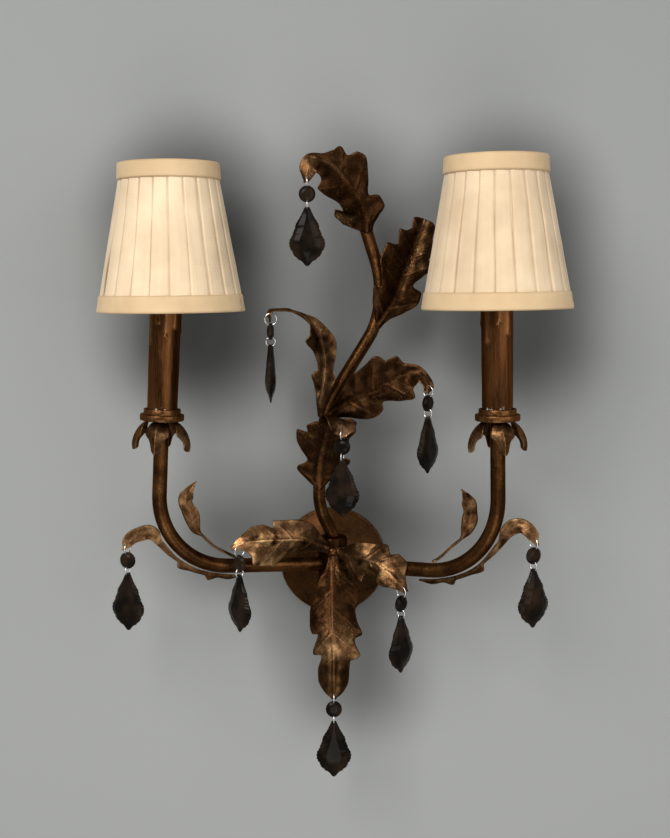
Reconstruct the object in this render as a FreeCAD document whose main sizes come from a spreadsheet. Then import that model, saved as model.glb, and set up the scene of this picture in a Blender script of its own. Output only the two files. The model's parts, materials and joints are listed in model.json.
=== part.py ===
import FreeCAD, Part
import math
import os

import Sketcher

# Two-light wall lamp: a turned hub on a round backplate carries two bent tube arms with candles,
# a branch with oak leaves of sheet metal, and nine glass drops on jump rings.
# Millimetres. X is along the wall, the wall is the plane Y = 0 and the lamp lies in front of it
# (Y below zero), Z is up. The origin is the centre of the backplate's back rim.

Vector = FreeCAD.Vector
Placement = FreeCAD.Placement
Rotation = FreeCAD.Rotation

RIGHTWARD = Vector(1, 0, 0)
FORWARD = Vector(0, -1, 0)
UPWARD = Vector(0, 0, 1)

SIZES = (
    ("fit_gap", 0.3, "clearance between pieces that sit together"),
    ("slide_fit", 0.05, "radial clearance of a pin in its hole"),
    ("overrun", 2.0, "how far a cutter passes the face it opens"),
    ("sheet", 0.8, "thickness of the leaf metal"),
    ("plate_radius", 50.0, "backplate rim"),
    ("plate_depth", 20.0, "backplate crown in front of the wall"),
    ("plate_wall", 1.2, "backplate metal"),
    ("plate_lip", 3.0, "height of the backplate's straight lip"),
    ("plate_shoulder_radius", 41.0, "start of the backplate's slope"),
    ("plate_shoulder_depth", 9.0, "depth at the shoulder"),
    ("plate_crown_radius", 19.0, "flat crown"),
    ("bar_length", 86.0, "mounting bar"),
    ("bar_width", 16.0, "mounting bar"),
    ("bar_thickness", 2.5, "mounting bar"),
    ("bar_spacing", 70.0, "between the two screw holes in the bar"),
    ("bar_hole_radius", 2.3, "screw hole in the bar"),
    ("nipple_radius", 4.8, "threaded tube between bar and hub"),
    ("nipple_bore", 3.3, "radius of its bore, for the flexes"),
    ("nipple_grip", 5.0, "depth of the threaded tube in the hub"),
    ("nut_flats", 15.0, "across the lock nuts"),
    ("nut_height", 3.5, "lock nut"),
    ("hub_forward", 42.0, "hub axis in front of the wall"),
    ("hub_radius", 13.0, "hub barrel"),
    ("hub_height", 44.0, "hub barrel"),
    ("hub_drop", 12.0, "hub's lower end below the origin"),
    ("hub_chamfer", 3.0, "bevel at both ends of the hub"),
    ("hub_finial_radius", 5.0, "button under the hub"),
    ("hub_finial_height", 4.0, "button under the hub"),
    ("hub_floor", 7.0, "metal below the hub's cavity"),
    ("screw_height", 21.0, "leaf screw above the origin"),
    ("screw_radius", 2.0, "leaf screw thread"),
    ("screw_head_radius", 3.6, "leaf screw head"),
    ("screw_head_height", 2.4, "leaf screw head"),
    ("leaf_stack", 1.2, "step between the leaves under the screw"),
    ("arm_radius", 6.35, "half inch tube"),
    ("arm_wall", 1.0, "tube wall"),
    ("arm_rise", 6.0, "arm axis at the hub above the origin"),
    ("arm_corner", 17.0, "height where the arm's two straight runs would meet"),
    ("arm_bend", 82.0, "radius of the arm's bend"),
    ("arm_seat", 7.0, "arm's inner end from the hub axis"),
    ("arm_stub", 13.0, "arm's upper end above the pan's underside"),
    ("left_reach", 147.2, "left candle from the middle"),
    ("left_forward", 100.0, "left candle from the wall"),
    ("left_base", 145.5, "underside of the left pan above the origin"),
    ("left_lean", 2.4, "degrees, left candle towards the middle"),
    ("right_reach", 138.4, "right candle from the middle"),
    ("right_forward", 127.0, "right candle from the wall"),
    ("right_base", 148.5, "underside of the right pan above the origin"),
    ("right_lean", 0.8, "degrees, right candle towards the middle"),
    ("left_shade_lean", -0.6, "degrees, left shade towards the middle"),
    ("right_shade_lean", 0.8, "degrees, right shade towards the middle"),
    ("pan_radius", 19.0, "lower disc of the drip pan"),
    ("pan_rim", 5.2, "thickness of the lower disc"),
    ("pan_cup_radius", 15.9, "upper tier of the drip pan"),
    ("pan_height", 9.9, "whole pan"),
    ("sleeve_radius", 14.2, "candle sleeve"),
    ("sleeve_wall", 1.5, "candle sleeve"),
    ("sleeve_length", 100.0, "candle sleeve"),
    ("socket_foot_radius", 9.0, "foot of the lamp holder"),
    ("socket_foot", 2.7, "thickness of that foot"),
    ("socket_stem_radius", 5.0, "holder's stem"),
    ("socket_body_radius", 10.5, "holder's body"),
    ("socket_body", 40.0, "length of the body"),
    ("socket_top", 104.0, "holder's mouth above the pan's underside"),
    ("socket_wire_radius", 3.2, "wire hole through the stem"),
    ("cap_radius", 5.9, "lamp cap"),
    ("cap_length", 19.0, "lamp cap"),
    ("glass_radius", 17.5, "widest place of the flame lamp"),
    ("glass_length", 82.0, "flame lamp from cap to tip"),
    ("flex_radius", 1.2, "each insulated flex"),
    ("flex_turn", 4.0, "radius of the flex's turn in the hub"),
    ("connector_radius", 4.0, "wire connector behind the plate"),
    ("connector_length", 6.0, "wire connector behind the plate"),
    ("clip_wire", 0.8, "radius of the clip's wire"),
    ("clip_plate_radius", 6.0, "disc on top of the clip"),
    ("clip_plate", 1.0, "thickness of that disc"),
    ("clip_rivet_radius", 1.5, "rivet the shade turns on"),
    ("clip_rivet_height", 3.0, "rivet above the disc"),
    ("clip_head_radius", 2.8, "head of that rivet"),
    ("clip_head", 1.0, "height of that head"),
    ("shade_bottom_radius", 63.5, "shade over its bands"),
    ("shade_top_radius", 44.6, "shade over its bands"),
    ("shade_height", 126.0, "shade"),
    ("shade_base", 93.5, "shade's lower edge above the pan's underside"),
    ("band_height", 14.5, "both bands of the shade"),
    ("band_thickness", 0.9, "band"),
    ("fabric", 0.9, "pleated cloth"),
    ("pleat_depth", 1.3, "step of each pleat"),
    ("frame_wire", 1.0, "radius of the shade frame's wire"),
    ("spider_hub_radius", 6.0, "washer at the middle of the frame"),
    ("spider_hub", 1.0, "thickness of that washer"),
    ("petal_span", 24.0, "length share base of a petal"),
    ("petal_ring_radius", 10.0, "stamped ring that joins the petals"),
    ("stem_radius", 5.6, "branch tube"),
    ("stem_seat", 8.0, "branch tube inside the hub"),
    ("stem_height", 280.0, "height of the branch above the hub"),
    ("leaf_span", 100.0, "length that the leaves' shares refer to"),
    ("leaf_hole_radius", 1.7, "hole for a jump ring"),
    ("ring_radius", 5.0, "upper jump ring, to the wire's middle"),
    ("link_radius", 4.0, "lower jump ring, to the wire's middle"),
    ("ring_wire", 0.5, "radius of the ring wire"),
    ("bead_size", 14.0, "octagon bead across its flats"),
    ("bead_thickness", 6.0, "octagon bead"),
    ("bead_hole_radius", 1.0, "holes in bead and drop"),
    ("ring_slack", 0.2, "clearance of a ring's wire where it hangs"),
    ("bead_hole_inset", 1.9, "hole centre below the bead's edge"),
    ("drop_length", 50.0, "glass drop"),
    ("drop_width", 31.5, "glass drop"),
    ("drop_thickness", 9.0, "glass drop"),
    ("drop_hole_inset", 2.0, "hole centre below the drop's top"),
)

PLEATS = 22
RIBS = 6
SPOKES = 3
PETALS = 4
RING_SIDES = 12
WIRE_SIDES = 5
FLEX_SIDES = 6
TUBE_SIDES = 16
ARC_STEPS = 10
SIDES = (("left", -1), ("right", 1))

doc = FreeCAD.newDocument("wall_lamp")
sheet = doc.addObject("Spreadsheet::Sheet", "sizes")
parts = []


def fill_sheet():
    """Writes each driving dimension as a plain number with an alias."""
    for row, (alias, number, note) in enumerate(SIZES, 1):
        sheet.set(f"A{row}", note)
        sheet.set(f"B{row}", str(number))
        sheet.setAlias(f"B{row}", alias)
    doc.recompute()


def size(alias):
    """A driving dimension, read from the sheet."""
    return float(sheet.get(alias))


def named(thing, label):
    """Keeps an object as a finished sub-part under its own label."""
    thing.Label = label
    parts.append(thing)
    return thing


def shaped(label, shape, placement=None):
    """A sub-part whose shape is worked out from the sheet in this file."""
    thing = doc.addObject("Part::Feature", label)
    thing.Shape = shape
    if placement is not None:
        thing.Placement = placement
    return named(thing, label)


def bound_outline(sketch, points):
    """Closed straight outline; each coordinate is an expression of the sheet."""
    places = [Vector(sheet.evalExpression(x), sheet.evalExpression(y), 0) for x, y in points]
    count = len(points)
    for index, place in enumerate(places):
        sketch.addGeometry(Part.LineSegment(place, places[(index + 1) % count]), False)
    for index in range(count):
        sketch.addConstraint(Sketcher.Constraint("Coincident", index, 2, (index + 1) % count, 1))
    for index, texts in enumerate(points):
        for kind, axis, text in zip(("DistanceX", "DistanceY"), (-2, -1), texts):
            if text == "0":
                sketch.addConstraint(Sketcher.Constraint("PointOnObject", index, 1, axis))
                continue
            length = sheet.evalExpression(text)
            number = sketch.addConstraint(Sketcher.Constraint(kind, -1, 1, index, 1, length))
            sketch.setExpression(f"Constraints[{number}]", text)


def bound_circle(sketch, x_text, radius_text):
    """Circle on the sketch's horizontal axis, bound to the sheet."""
    x, radius = sheet.evalExpression(x_text), sheet.evalExpression(radius_text)
    edge = sketch.addGeometry(Part.Circle(Vector(x, 0, 0), UPWARD, radius), False)
    sketch.addConstraint(Sketcher.Constraint("PointOnObject", edge, 3, -1))
    number = sketch.addConstraint(Sketcher.Constraint("Radius", edge, radius))
    sketch.setExpression(f"Constraints[{number}]", radius_text)
    if x_text == "0":
        sketch.addConstraint(Sketcher.Constraint("PointOnObject", edge, 3, -2))
        return
    number = sketch.addConstraint(Sketcher.Constraint("DistanceX", -1, 1, edge, 3, x))
    sketch.setExpression(f"Constraints[{number}]", x_text)


def body_with_sketch(name, role):
    """A body and a sketch on one of its own origin planes."""
    body = doc.addObject("PartDesign::Body", name)
    sketch = body.newObject("Sketcher::SketchObject", name + "_outline")
    plane = next(item for item in body.Origin.OriginFeatures if item.Role == role)
    sketch.AttachmentSupport = [(plane, "")]
    sketch.MapMode = "FlatFace"
    return body, sketch


def turned(name, points, placement=None):
    """Body of revolution about Z from (radius, height) expressions."""
    body, sketch = body_with_sketch(name, "XZ_Plane")
    bound_outline(sketch, points)
    turn = body.newObject("PartDesign::Revolution", name + "_turn")
    turn.Profile = sketch
    turn.ReferenceAxis = (sketch, ["V_Axis"])
    turn.Angle = 360
    if placement is not None:
        body.Placement = placement
    return body


def padded(name, points, circles, thickness, placement):
    """Flat piece: an outline with round holes, given its thickness along Z."""
    body, sketch = body_with_sketch(name, "XY_Plane")
    bound_outline(sketch, points)
    for x_text, radius_text in circles:
        bound_circle(sketch, x_text, radius_text)
    pad = body.newObject("PartDesign::Pad", name + "_pad")
    pad.Profile = sketch
    pad.setExpression("Length", thickness)
    body.Placement = placement
    return body


def cylinder(name, radius, height, placement):
    """Cylinder bound to the sheet, along its own Z."""
    tool = doc.addObject("Part::Cylinder", name)
    tool.setExpression("Radius", radius)
    tool.setExpression("Height", height)
    tool.Placement = placement
    return tool


def aimed(place, direction):
    """Placement whose Z points along a direction."""
    return Placement(place, Rotation(UPWARD, direction))


def wall_turn(depth):
    """Placement whose Z points away from the wall, from a depth in front of it."""
    return Placement(Vector(0, -depth, 0), Rotation(RIGHTWARD, 90))


def skin(sections, closed=False, crossed=()):
    """Solid through polygons of equal count, joined by plane facets.

    The cells that start at the crossed corners are parted along their other diagonal.
    """
    faces = []
    count = len(sections[0])
    rows = len(sections)
    for row in range(rows if closed else rows - 1):
        lower, upper = sections[row], sections[(row + 1) % rows]
        for index in range(count):
            a, b = lower[index], lower[(index + 1) % count]
            c, d = upper[(index + 1) % count], upper[index]
            if index in crossed:
                halves = ([a, b, d, a], [b, c, d, b])
            else:
                halves = ([a, b, c, a], [a, c, d, a])
            faces += [Part.Face(Part.makePolygon(half)) for half in halves]
    if not closed:
        for section in (sections[0], sections[-1]):
            corners = list(section)
            while len(corners) > 2:
                last = corners.pop()
                faces.append(Part.Face(Part.makePolygon([corners[-1], last, corners[0], corners[-1]])))
                if len(corners) > 2:
                    first = corners.pop(0)
                    faces.append(
                        Part.Face(Part.makePolygon([first, corners[0], corners[-1], first]))
                    )
    shell = Part.makeShell(faces)
    shell.sewShape()
    solid = Part.makeSolid(shell)
    if solid.Volume < 0:
        solid.reverse()
    return solid


def polygon(centre, across, up, width, height, count, phase=0.0):
    """Points of an even polygon, stretched along two directions."""
    points = []
    for index in range(count):
        angle = math.tau * (index + phase) / count
        points.append(centre + across * (width * math.cos(angle)) + up * (height * math.sin(angle)))
    return points


def wire_ring(radius, wire, segments=RING_SIDES):
    """Ring of round wire in the YZ plane about the origin, in plane facets."""
    sections = []
    for index in range(segments):
        angle = math.tau * index / segments
        outward = Vector(0, math.cos(angle), math.sin(angle))
        sections.append(polygon(outward * radius, outward, RIGHTWARD, wire, wire, WIRE_SIDES))
    return skin(sections, closed=True)


def rounded_path(points, radius):
    """Straight runs joined by tangent arcs, each arc no larger than its runs allow."""
    share_of_run = 0.45
    edges = []
    start = points[0]
    for before, corner, after in zip(points, points[1:], points[2:]):
        back = (before - corner).normalize()
        ahead = (after - corner).normalize()
        half = math.acos(max(-1.0, min(1.0, back.dot(ahead)))) / 2
        room = share_of_run * min((before - corner).Length, (after - corner).Length)
        reach = min(radius / math.tan(half), room)
        bend = reach * math.tan(half)
        first, last = corner + back * reach, corner + ahead * reach
        middle = corner + (back + ahead).normalize() * (bend / math.sin(half) - bend)
        edges.append(Part.LineSegment(start, first).toShape())
        edges.append(Part.Arc(first, middle, last).toShape())
        start = last
    edges.append(Part.LineSegment(start, points[-1]).toShape())
    return Part.Wire(edges)


def stations(path):
    """Places along a path: the ends of its straight runs and even steps of its arcs."""
    places = [path.OrderedVertexes[0].Point]
    for edge in path.OrderedEdges:
        straight = edge.Curve.TypeId == "Part::GeomLine"
        run = edge.discretize(Number=2 if straight else 1 + ARC_STEPS)
        if (run[0] - places[-1]).Length > (run[-1] - places[-1]).Length:
            run.reverse()
        places += run[1:]
    return places


def cross_sections(points, radius, sides):
    """A polygon across each place of a path, turned as little as the path allows."""
    sections = []
    across = None
    for index, point in enumerate(points):
        before, after = points[max(index - 1, 0)], points[min(index + 1, len(points) - 1)]
        along = (after - before).normalize()
        if across is None:
            across = along.cross(UPWARD if abs(along.z) < 0.9 else RIGHTWARD).normalize()
        across = (across - along * along.dot(across)).normalize()
        sections.append(polygon(point, across, along.cross(across), radius, radius, sides))
    return sections


def faceted_tube(points, outer, inner, sides):
    """Hollow tube through places, in plane facets."""
    outside = cross_sections(points, outer, sides)
    inside = cross_sections(points, inner, sides)
    slices = []
    for side in range(sides):
        there = [section[side] for section in outside]
        back = [section[side] for section in reversed(inside)]
        slices.append(there + back)
    return skin(slices, closed=True)


def faceted_wire(points, radius, sides):
    """Solid bar or wire through places, in plane facets."""
    return skin(cross_sections(points, radius, sides))


def curve_point(points, share):
    """Point of a smooth curve through places, at an even share of the places."""
    last = len(points) - 1
    step = min(max(share, 0.0), 1.0) * last
    index = min(int(step), last - 1)
    t = step - index
    here, there = points[index], points[index + 1]
    before = points[index - 1] if index > 0 else here * 2 - there
    beyond = points[index + 2] if index + 2 <= last else there * 2 - here
    return (
        here * 2
        + (there - before) * t
        + (before * 2 - here * 5 + there * 4 - beyond) * (t * t)
        + (here * 3 - before - there * 3 + beyond) * (t * t * t)
    ) * 0.5


def between(table, share):
    """Straight-line reading of a table of (share, value) pairs."""
    for (low, first), (high, second) in zip(table, table[1:]):
        if share <= high:
            part = (share - low) / (high - low)
            return first + (second - first) * part
    return table[-1][1]


class Blade:
    """Sheet metal leaf: a midrib, the way it faces, a fold and the lobes of both edges.

    The midrib is a list of places. The right edge lies on the right of someone who looks at
    the leaf's face with its tip up. Both edge tables hold (share of the midrib, half width).
    The rake carries each edge point towards the tip, as a leaf's side veins run.
    """

    STEPS = 160

    def __init__(self, rib, facing, fold, rake, right, left):
        self.rib, self.facing, self.fold = rib, facing, fold
        self.rake = math.tan(math.radians(rake))
        self.right, self.left = right, left
        self.track = [0.0]
        last = curve_point(rib, 0.0)
        for step in range(1, self.STEPS + 1):
            here = curve_point(rib, step / self.STEPS)
            self.track.append(self.track[-1] + (here - last).Length)
            last = here

    def place(self, share):
        """Curve share at an even share of the midrib's length."""
        wanted = share * self.track[-1]
        for step, run in enumerate(self.track[1:], 1):
            if run >= wanted:
                break
        start = self.track[step - 1]
        return (step - 1 + (wanted - start) / (self.track[step] - start)) / self.STEPS

    def axes(self, share):
        """Midrib point with the directions along it, to its right, and out of its face."""
        here = self.place(share)
        near = 1.0 / self.STEPS
        point = curve_point(self.rib, here)
        ahead = curve_point(self.rib, min(here + near, 1.0))
        behind = curve_point(self.rib, max(here - near, 0.0))
        along = (ahead - behind).normalize()
        spot = share * (len(self.facing) - 1)
        index = min(int(spot), len(self.facing) - 2)
        facing = self.facing[index] + (self.facing[index + 1] - self.facing[index]) * (spot - index)
        right = along.cross(facing).normalize()
        return point, along, right, right.cross(along)

    def row(self, share):
        """Left edge, midrib and right edge of the sheet's middle surface."""
        point, along, right, outward = self.axes(share)
        angle = math.radians(between(self.fold, share))
        row = []
        for sign, table in ((-1, self.left), (1, self.right)):
            width = between(table, share)
            spread = right * (sign * width * math.cos(angle))
            lift = outward * (width * math.sin(angle))
            row.append(point + spread + lift + along * (width * self.rake))
        return row[0], point, row[1], outward

    def solid(self, thickness):
        """The closed sheet, one section at each share that either edge names."""
        shares = sorted({share for share, _ in self.right} | {share for share, _ in self.left})
        sections = []
        for share in shares:
            left, middle, right, outward = self.row(share)
            half = outward * (thickness / 2)
            sections.append(
                [left + half, middle + half, right + half, right - half, middle - half, left - half]
            )
        return skin(sections, crossed=(1, 4))


# Places along each midrib, and half widths, as shares of leaf_span, chosen by eye.
LEAVES = {
    "leaf_top": {
        "stem_share": 0.985,
        "side": (0.0, -1.0, 0.0),
        "rib_shares": (
            (0, 0, 0), (-0.01, -0.08, 0.16), (-0.08, -0.16, 0.31), (-0.18, -0.24, 0.45),
            (-0.295, -0.31, 0.575), (-0.415, -0.38, 0.635), (-0.50, -0.44, 0.575),
            (-0.535, -0.45, 0.415),
        ),
        "facing": ((0.1, -1, 0.1), (0, -1, 0.1), (0.1, -1, 0.3), (-0.5, -1, 0.2)),
        "fold": ((0, 2), (0.3, 10), (0.7, 8), (1, 0)),
        "right_shares": (
            (0, 0.05), (0.05, 0.06), (0.14, 0.105), (0.19, 0.19), (0.24, 0.18), (0.30, 0.10),
            (0.36, 0.18), (0.43, 0.26), (0.49, 0.24), (0.56, 0.155), (0.61, 0.18), (0.66, 0.12),
            (0.75, 0.05), (0.85, 0.07), (0.94, 0.05), (1, 0.02),
        ),
        "left_shares": (
            (0, 0.05), (0.03, 0.20), (0.06, 0.29), (0.14, 0.22), (0.27, 0.18), (0.45, 0.255),
            (0.52, 0.29), (0.60, 0.19), (0.75, 0.12), (0.85, 0.09), (0.94, 0.05), (1, 0.02),
        ),
    },
    "leaf_upper_right": {
        "stem_share": 0.70,
        "side": (0.8, -0.6, 0.0),
        "rib_shares": (
            (0, 0, 0), (0.055, -0.01, 0.09), (0.13, -0.02, 0.205), (0.19, -0.02, 0.34),
            (0.245, 0.0, 0.50), (0.32, 0.03, 0.69), (0.42, 0.06, 0.97),
        ),
        "facing": ((0.3, -1, 0.0), (0.1, -1, 0.0), (0.1, -1, 0.0)),
        "fold": ((0, 2), (0.3, 12), (1, 8)),
        "right_shares": (
            (0, 0.03), (0.04, 0.07), (0.11, 0.16), (0.18, 0.21), (0.24, 0.20), (0.32, 0.11),
            (0.38, 0.17), (0.50, 0.24), (0.60, 0.16), (0.70, 0.19), (0.80, 0.10), (0.90, 0.08),
            (1, 0.015),
        ),
        "left_shares": (
            (0, 0.03), (0.09, 0.05), (0.18, 0.16), (0.30, 0.22), (0.39, 0.26), (0.51, 0.255),
            (0.60, 0.16), (0.71, 0.19), (0.76, 0.15), (0.83, 0.06), (0.90, 0.065), (1, 0.015),
        ),
    },
    "leaf_middle_right": {
        "stem_share": 0.40,
        "side": (0.0, -1.0, 0.0),
        "rib_shares": (
            (0, 0, 0), (0.115, -0.05, 0.095), (0.26, -0.09, 0.17), (0.40, -0.13, 0.245),
            (0.545, -0.18, 0.34), (0.69, -0.23, 0.415), (0.81, -0.29, 0.42), (0.885, -0.34, 0.34),
            (0.88, -0.35, 0.26),
        ),
        "facing": ((0, -1, 0), (0, -1, 0.1), (0, -1, 0.2), (0.6, -1, 0.3)),
        "fold": ((0, 2), (0.3, 12), (0.7, 8), (1, 0)),
        "right_shares": (
            (0, 0.03), (0.06, 0.08), (0.16, 0.165), (0.28, 0.215), (0.36, 0.19), (0.41, 0.13),
            (0.50, 0.215), (0.59, 0.245), (0.66, 0.16), (0.78, 0.10), (0.86, 0.06), (0.94, 0.05),
            (1, 0.02),
        ),
        "left_shares": (
            (0, 0.03), (0.10, 0.06), (0.18, 0.15), (0.27, 0.22), (0.48, 0.255), (0.52, 0.23),
            (0.57, 0.17), (0.64, 0.17), (0.70, 0.09), (0.78, 0.07), (0.86, 0.05), (0.94, 0.05),
            (1, 0.02),
        ),
    },
    "leaf_upper_left": {
        "stem_share": 0.40,
        "side": (-0.7, -0.7, 0.0),
        "rib_shares": (
            (0, 0, 0), (0.0, -0.02, 0.14), (0.03, -0.06, 0.31), (0.045, -0.11, 0.49),
            (0.01, -0.18, 0.67), (-0.085, -0.28, 0.84), (-0.215, -0.37, 0.945),
            (-0.35, -0.43, 0.975), (-0.42, -0.45, 0.96), (-0.43, -0.455, 0.885),
        ),
        "facing": (
            (-0.4, -1, 0.1), (0, -1, 0.2), (-0.1, -0.8, 0.5), (-0.1, -0.3, 1), (-1, -0.3, 0.3),
        ),
        "fold": ((0, 2), (0.3, 10), (0.7, 10), (1, 0)),
        "right_shares": (
            (0, 0.03), (0.09, 0.03), (0.18, 0.06), (0.24, 0.09), (0.30, 0.06), (0.37, 0.085),
            (0.46, 0.11), (0.56, 0.08), (0.64, 0.07), (0.74, 0.06), (0.86, 0.06), (0.94, 0.05),
            (1, 0.02),
        ),
        "left_shares": (
            (0, 0.03), (0.09, 0.03), (0.18, 0.075), (0.24, 0.105), (0.30, 0.055), (0.42, 0.07),
            (0.56, 0.12), (0.60, 0.08), (0.64, 0.05), (0.74, 0.07), (0.86, 0.06), (0.94, 0.05),
            (1, 0.02),
        ),
    },
    "leaf_lower_left": {
        "stem_share": 0.18,
        "side": (0.0, -1.0, 0.0),
        "rib_shares": (
            (0, 0, 0), (0, -0.02, 0.15), (0.02, -0.07, 0.32), (0.055, -0.14, 0.49),
            (0.09, -0.22, 0.635), (0.13, -0.31, 0.71), (0.19, -0.39, 0.675), (0.22, -0.42, 0.55),
        ),
        "facing": ((0, -1, 0.1), (0, -1, 0.1), (0, -1, 0.4), (-0.2, -0.9, -0.2)),
        "fold": ((0, 2), (0.3, 12), (0.7, 5), (1, 0)),
        "right_shares": (
            (0, 0.03), (0.05, 0.12), (0.10, 0.25), (0.18, 0.27), (0.27, 0.20), (0.39, 0.21),
            (0.46, 0.21), (0.52, 0.25), (0.62, 0.18), (0.70, 0.08), (0.76, 0.04), (0.82, 0.04),
            (0.88, 0.04), (0.93, 0.04), (1, 0.02),
        ),
        "left_shares": (
            (0, 0.03), (0.05, 0.105), (0.11, 0.20), (0.22, 0.12), (0.28, 0.19), (0.34, 0.25),
            (0.42, 0.27), (0.46, 0.18), (0.52, 0.20), (0.62, 0.18), (0.72, 0.18), (0.82, 0.13),
            (0.93, 0.05), (1, 0.02),
        ),
    },
    "leaf_centre_left": {
        "stack": 0,
        "rib_shares": (
            (0, 0, 0), (-0.135, -0.06, 0.07), (-0.275, -0.15, 0.13), (-0.45, -0.24, 0.15),
            (-0.61, -0.31, 0.16), (-0.76, -0.36, 0.155), (-0.88, -0.38, 0.11),
        ),
        "facing": ((0, -1, 0.0), (0, -1, 0.2), (-0.5, -1, 0.2)),
        "fold": ((0, 0), (0.15, 0), (0.4, -22), (0.8, -18), (1, 0)),
        "right_shares": (
            (0, 0.04), (0.08, 0.06), (0.20, 0.15), (0.28, 0.17), (0.37, 0.18), (0.48, 0.19),
            (0.54, 0.12), (0.62, 0.15), (0.72, 0.14), (0.82, 0.09), (0.93, 0.045), (1, 0.02),
        ),
        "left_shares": (
            (0, 0.04), (0.08, 0.05), (0.20, 0.10), (0.28, 0.14), (0.36, 0.12), (0.44, 0.25),
            (0.50, 0.235), (0.58, 0.24), (0.67, 0.22), (0.74, 0.14), (0.82, 0.085), (0.93, 0.04),
            (1, 0.02),
        ),
    },
    "leaf_centre_right": {
        "stack": 1,
        "rib_shares": (
            (0, 0, 0), (0.06, -0.01, -0.01), (0.14, -0.08, -0.02), (0.25, -0.19, -0.02),
            (0.38, -0.28, -0.045), (0.49, -0.35, -0.11), (0.57, -0.395, -0.18), (0.64, -0.41, -0.265),
        ),
        "facing": ((0, -1, 0.0), (0, -1, 0.2), (0.6, -1, 0.1)),
        "fold": ((0, 0), (0.15, 0), (0.4, -22), (0.62, -8), (0.8, -8), (1, 0)),
        "right_shares": (
            (0, 0.04), (0.05, 0.055), (0.08, 0.07), (0.16, 0.15), (0.24, 0.21), (0.30, 0.16),
            (0.38, 0.135), (0.53, 0.15), (0.69, 0.13), (0.80, 0.085), (0.92, 0.045), (1, 0.02),
        ),
        "left_shares": (
            (0, 0.04), (0.08, 0.06), (0.16, 0.12), (0.31, 0.145), (0.48, 0.19), (0.53, 0.16),
            (0.57, 0.135), (0.61, 0.18), (0.69, 0.18), (0.80, 0.10), (0.92, 0.045), (1, 0.02),
        ),
    },
    "leaf_centre_bottom": {
        "stack": 2,
        "rib_shares": (
            (0, 0, 0), (0, -0.008, -0.07), (0, -0.06, -0.20), (0, -0.14, -0.39), (0, -0.22, -0.56),
            (0, -0.28, -0.71), (0.01, -0.30, -0.86), (0.01, -0.29, -1.06), (0.01, -0.26, -1.26),
        ),
        "facing": ((0, -1, 0.0), (0, -1, 0.3), (0, -1, 0.0), (0, -1, -0.1)),
        "fold": ((0, 0), (0.12, 0), (0.3, -20), (0.8, -18), (1, 0)),
        "right_shares": (
            (0, 0.04), (0.045, 0.045), (0.08, 0.06), (0.14, 0.12), (0.24, 0.18), (0.31, 0.22),
            (0.39, 0.22),
            (0.47, 0.195), (0.50, 0.14), (0.60, 0.195), (0.65, 0.12), (0.75, 0.15), (0.82, 0.145),
            (0.90, 0.10), (0.95, 0.06), (1, 0.02),
        ),
        "left_shares": (
            (0, 0.04), (0.08, 0.06), (0.14, 0.10), (0.24, 0.14), (0.33, 0.165), (0.39, 0.23),
            (0.43, 0.28), (0.50, 0.21), (0.60, 0.25), (0.65, 0.22), (0.69, 0.15), (0.82, 0.14),
            (0.90, 0.10), (0.95, 0.06), (1, 0.02),
        ),
    },
}

# Sprigs: a strip soldered along the arm between two shares of it, then a free leaf.
OUTER_SPRIGS = {
    "left": {
        "strip_shares": (0.28, 0.35, 0.42, 0.49, 0.56),
        "free_shares": (
            (-0.086, -0.02, 0.082), (-0.19, -0.04, 0.077), (-0.266, -0.06, 0.043),
            (-0.325, -0.08, -0.05),
        ),
    },
    "right": {
        "strip_shares": (0.28, 0.35, 0.42, 0.49, 0.57),
        "free_shares": (
            (0.088, -0.02, 0.121), (0.188, -0.05, 0.171), (0.271, -0.08, 0.13),
            (0.33, -0.10, 0.02),
        ),
    },
}
STRIP_RIGHT_SHARES = (
    (0, 0.01), (0.08, 0.03), (0.16, 0.02), (0.22, 0.055), (0.26, 0.02), (0.36, 0.03), (0.44, 0.06),
    (0.48, 0.02), (0.58, 0.04), (0.66, 0.05), (0.76, 0.06), (0.86, 0.06), (0.93, 0.05), (1, 0.015),
)
STRIP_LEFT_SHARES = (
    (0, 0.01), (0.16, 0.02), (0.54, 0.01), (0.66, 0.01), (0.72, 0.05), (0.78, 0.07), (0.86, 0.06),
    (0.93, 0.05), (1, 0.015),
)
INNER_SPRIGS = {
    "left": {
        "arm_share": 0.30,
        "rib_shares": (
            (0, 0, 0), (-0.085, -0.03, 0.05), (-0.185, -0.06, 0.115), (-0.275, -0.10, 0.21),
            (-0.333, -0.12, 0.275), (-0.375, -0.13, 0.405), (-0.42, -0.14, 0.515),
            (-0.40, -0.14, 0.608), (-0.333, -0.12, 0.70),
        ),
    },
    "right": {
        "arm_share": 0.33,
        "rib_shares": (
            (0, 0, 0), (0.067, -0.02, 0.048), (0.166, -0.05, 0.15), (0.25, -0.08, 0.235),
            (0.30, -0.10, 0.35), (0.314, -0.11, 0.463), (0.29, -0.11, 0.574), (0.24, -0.09, 0.657),
        ),
    },
}
SPRIG_SHARES = (
    (0, 0.012), (0.40, 0.012), (0.50, 0.05), (0.62, 0.07), (0.72, 0.06), (0.80, 0.065),
    (0.90, 0.035), (1, 0.008),
)
PETAL_RIB_SHARES = (
    (0.36, -0.04), (0.60, -0.06), (0.86, -0.22), (1.02, -0.50), (1.02, -0.78), (0.93, -0.98),
)
PETAL_EDGE_SHARES = ((0, 0.16), (0.2, 0.24), (0.45, 0.40), (0.6, 0.42), (0.8, 0.26), (1, 0.02))

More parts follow.
